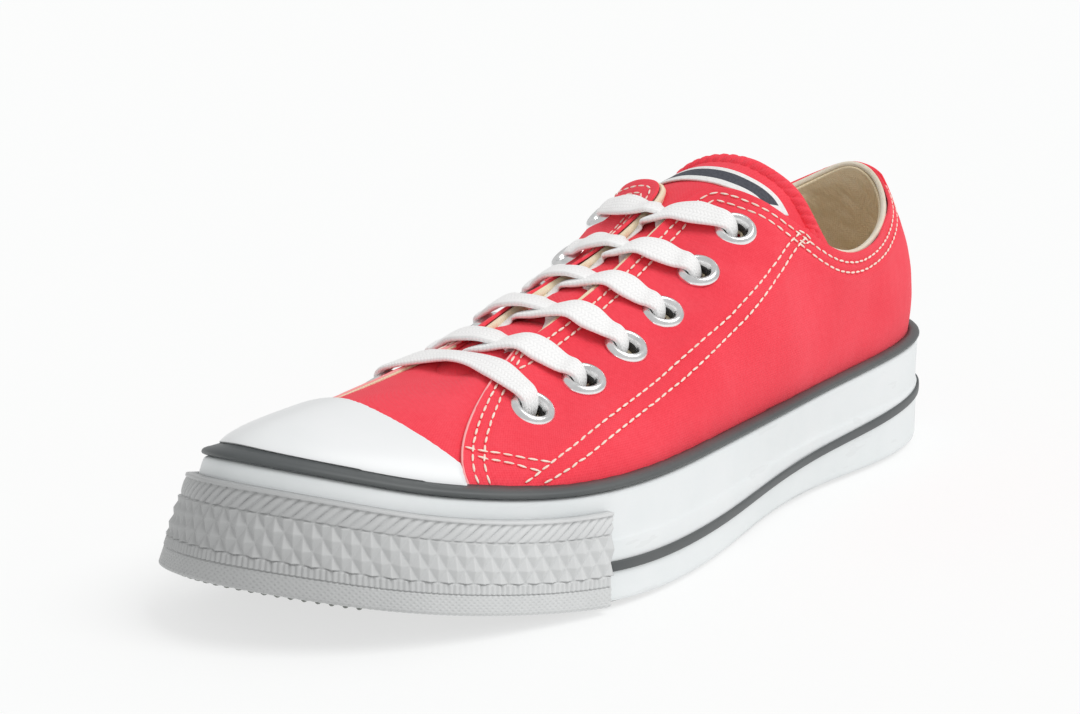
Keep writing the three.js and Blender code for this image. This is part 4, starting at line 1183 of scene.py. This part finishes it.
def makeLowerStripe():
    u = np.linspace(-bumperEnd + 0.03, bumperEnd - 0.03, 260)
    share = 0.52 + (0.35 - 0.52) * smoothStep((np.abs(u) - 1) / 5)
    band = rubber["lowerStripe"] / sole["foxingHeight"] / 2
    section = [(-1, 0.2), (-1, 0.45), (-0.8, 0.66), (-0.3, 0.72), (0.3, 0.72), (0.8, 0.66), (1, 0.45),
               (1, 0.2), (-1, 0.2)]
    bm = gridMesh(np.array([foxing(u, share + side * band, out) for side, out in section]), wrapRows=True)
    closeEnds(bm)
    piece = finishPiece(bm, "lower_line", darkRubber)
    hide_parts("lower_stripe")


def bumperRelief(s, h):
    # s in millimetres round the toe, h the share of the strip's height from its top down
    def wave(turns):
        return np.abs(np.sin(math.pi * turns))

    rope = wave(s / 2.6 - h * 9) ** 0.7 * np.sin(math.pi * np.clip((h - 0.02) / 0.215, 0, 1)) ** 0.35
    slants = s / 4.3 + (h - 0.23) * 3.4, s / 4.3 - (h - 0.23) * 3.4
    pyramid = 1 - 2 * np.maximum(*(np.abs(slant - np.floor(slant) - 0.5) for slant in slants))
    hatch = np.maximum(wave(s / 1.5 + h * 18), wave(s / 1.5 - h * 18))
    # from, to, height: lip, ropes, diamonds, fine ribs, hatched foot
    zones = [(0, 0.03, 0.75), (0.03, 0.225, 0.05 + 0.62 * rope), (0.235, 0.66, 0.05 + 0.95 * pyramid),
             (0.67, 0.775, 0.15 + 0.42 * wave(s / 1.3) ** 0.8), (0.785, 2, 0.16 + 0.24 * hatch)]
    relief = np.zeros(np.broadcast(s, h).shape)
    for start, stop, height in zones:
        relief = np.where((h >= start) & (h < stop), height, relief)
    return relief


def makeBumper():
    fine = np.linspace(bumperEnd, turn - bumperEnd, 1200)
    lengths = lengthsAlong(foxing(fine, 0.5, 2.5), 0)
    s = np.linspace(0, lengths[-1], 820)
    u = np.interp(s, lengths, fine)
    h = np.linspace(0, 1, 108)[:, None]
    top = 1 - bumper["drop"] / np.linalg.norm(rimLoop(u) - footLoop(u), axis=-1)
    share = top * (1 - 0.985 * h)
    flare = bumper["flare"] * smoothStep((np.minimum(s, lengths[-1] - s) - 9) / 34)
    reach = bumper["thickness"] + flare * h - 0.95 + bumper["relief"] * bumperRelief(s[None, :], h)
    reach = reach - 0.9 * np.clip((h - 0.955) / 0.045, 0, 1) ** 2
    face = foxing(u, share, reach)
    back = [foxing(u, share[-1], 0.25), foxing(u, share[0], 0.25),
            foxing(u, share[0], bumper["thickness"] - 0.9), face[0]]
    bm = gridMesh(np.concatenate([face, np.array(back)]), wrapRows=True)
    closeEnds(bm)
    piece = finishPiece(bm, "toe_strip", bumperRubber)
    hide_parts("toe_bumper")


def makeCap():
    start = cap["start"]
    u = start + (turn - 2 * start) * np.linspace(0, 1, 130)
    low = vAtHeight(u, 1.7)
    # the rear edge bows across the toe
    probe = np.linspace(0, 1, 301)
    surface = lastSurface(u[:, None], probe[None, :])
    rearLine = cap["length"] - heelEnd + cap["bow"] * (surface[..., 0] - cap["centre"]) ** 2
    rear = np.maximum(probe[np.argmax(surface[..., 1] >= rearLine, axis=1)], low + 0.02)
    v = low + (rear - low) * np.linspace(0, 1, 44)[:, None]
    inside = np.minimum(u, turn - u) - (frontU(v) + 0.02)
    lift = np.where(inside < -0.03, -0.5, 0.35 + cap["thickness"] * smoothStep(0.5 + inside / 0.06))
    points = shell(u, v, lift)
    bm = gridMesh(points, clothUv(points), flip=True)
    piece = thickness(finishPiece(bm, "toe_cap_rubber", capRubber), 1.4, 0.5, 3)
    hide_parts("toe_cap")


def makeInsole():
    u = np.linspace(0.02, lastRow - 0.02, 90)[:, None]
    t = np.linspace(0, 1, 26)
    lateral, medial = (seatPoint(side, upper["quarterLift"] - upper["wall"] - 0.3) for side in (u, turn - u))
    points = lateral * (1 - t[:, None]) + medial * t[:, None]
    points = lifted(points, 3.0 + 1.2 * (2 * t - 1) ** 2 + 0.08 * ripple(points, 12, 51))
    bm = gridMesh(points, clothUv(points))
    faceUp(bm)
    piece = thickness(finishPiece(bm, "footbed", footbedCloth), 2.8, 0.6)
    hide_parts("insole")


def makeNubs():
    # small lumps of tread under the toe
    bm = bmesh.new()
    fine = np.linspace(nubs["start"], nubs["stop"], 800)
    lengths = lengthsAlong(outwards(footLoop, fine, -1.0), 0)
    for s in np.arange(nubs["pitch"] / 2, lengths[-1], nubs["pitch"]):
        u = float(np.interp(s, lengths, fine))
        foot, inner = outwards(footLoop, u, 0.2), outwards(footLoop, u, -2.6)
        along = Vector(footLoop(u + nearby) - footLoop(u - nearby)).normalized()
        out = Vector(foot - inner).normalized()
        turned = Matrix((along * 0.95, out * 2.1, along.cross(out).normalized() * 1.1)).transposed()
        centre = toFrame(lifted((foot + inner) / 2, 0.1))
        matrix = Matrix.Translation(centre) @ (turned * 0.001).to_4x4()
        bmesh.ops.create_uvsphere(bm, u_segments=8, v_segments=6, radius=1, matrix=matrix)
    bmesh.ops.recalc_face_normals(bm, faces=bm.faces)
    finishPiece(bm, "toe_nubs", treadRubber)


makeFoxing()
makeTopStripe()
makeLowerStripe()
makeBumper()
makeCap()
makeInsole()
makeNubs()
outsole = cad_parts["outsole"]
outsole.data.materials.clear()
outsole.data.materials.append(treadRubber)
print("rubber ready")

# Floor, light and camera
studio = {"sky": 0.6, "sun": 1.4, "spread": 40, "sunFrom": (0.65, 0.1, 1),
          "floor": (0.32, 0.325, 0.322), "glow": 0.66, "reach": 60}
# degrees and millimetres; the focal length and the shift count the photograph's pixels
shot = {"azimuth": 34.62, "elevation": 11.966, "roll": -0.076, "distance": 627.89, "aim": (0, -1.25, 44.96),
        "focal": 2419.24, "shift": (73.53, -10.10), "pixels": 1080, "sensor": 36}


def makeFloor():
    bm = bmesh.new()
    bmesh.ops.create_grid(bm, x_segments=1, y_segments=1, size=studio["reach"])
    mesh = bpy.data.meshes.new("floor")
    bm.to_mesh(mesh)
    bm.free()
    floor = bpy.data.objects.new("floor", mesh)
    bpy.context.scene.collection.objects.link(floor)
    floor.location.z = -0.0002  # just under the tread
    material, _, shader = newMaterial("floorWhite", studio["floor"], 0.8)
    shader.inputs["Specular IOR Level"].default_value = 0
    shader.inputs["Emission Color"].default_value = (1, 1, 1, 1)
    shader.inputs["Emission Strength"].default_value = studio["glow"]
    mesh.materials.append(material)


def addSun():
    data = bpy.data.lights.new("softSun", "SUN")
    data.energy = studio["sun"]
    data.angle = math.radians(studio["spread"])
    lamp = bpy.data.objects.new("softSun", data)
    bpy.context.scene.collection.objects.link(lamp)
    lamp.location = Vector(studio["sunFrom"])
    lamp.rotation_euler = (-Vector(studio["sunFrom"])).to_track_quat("-Z", "Y").to_euler()


def makeCamera():
    azimuth, elevation, roll = (math.radians(shot[angle]) for angle in ("azimuth", "elevation", "roll"))
    level = math.cos(elevation)
    back = Vector((math.sin(azimuth) * level, -math.cos(azimuth) * level, math.sin(elevation)))
    right = Vector((math.cos(azimuth), math.sin(azimuth), 0))
    up = back.cross(right)
    turnedRight = math.cos(roll) * right + math.sin(roll) * up
    turnedUp = -math.sin(roll) * right + math.cos(roll) * up
    data = bpy.data.cameras.new("camera")
    camera = bpy.data.objects.new("camera", data)
    bpy.context.scene.collection.objects.link(camera)
    place = Vector(toFrame(shot["aim"])) + back * (shot["distance"] / 1000)
    matrix = Matrix((turnedRight, turnedUp, back)).transposed().to_4x4()
    camera.matrix_world = Matrix.Translation(place) @ matrix
    data.sensor_width = shot["sensor"]
    data.lens = shot["focal"] / shot["pixels"] * shot["sensor"]
    data.shift_x = -shot["shift"][0] / shot["pixels"]
    data.shift_y = shot["shift"][1] / shot["pixels"]
    bpy.context.scene.camera = camera


def addSky():
    world = bpy.data.worlds.new("studio")
    bpy.context.scene.world = world
    world.use_nodes = True
    sky = world.node_tree.nodes["Background"]
    sky.inputs["Color"].default_value = (1, 1, 1, 1)
    sky.inputs["Strength"].default_value = studio["sky"]


makeFloor()
addSky()
addSun()
makeCamera()
bpy.context.scene.view_settings.view_transform = "Standard"
print("stage ready")
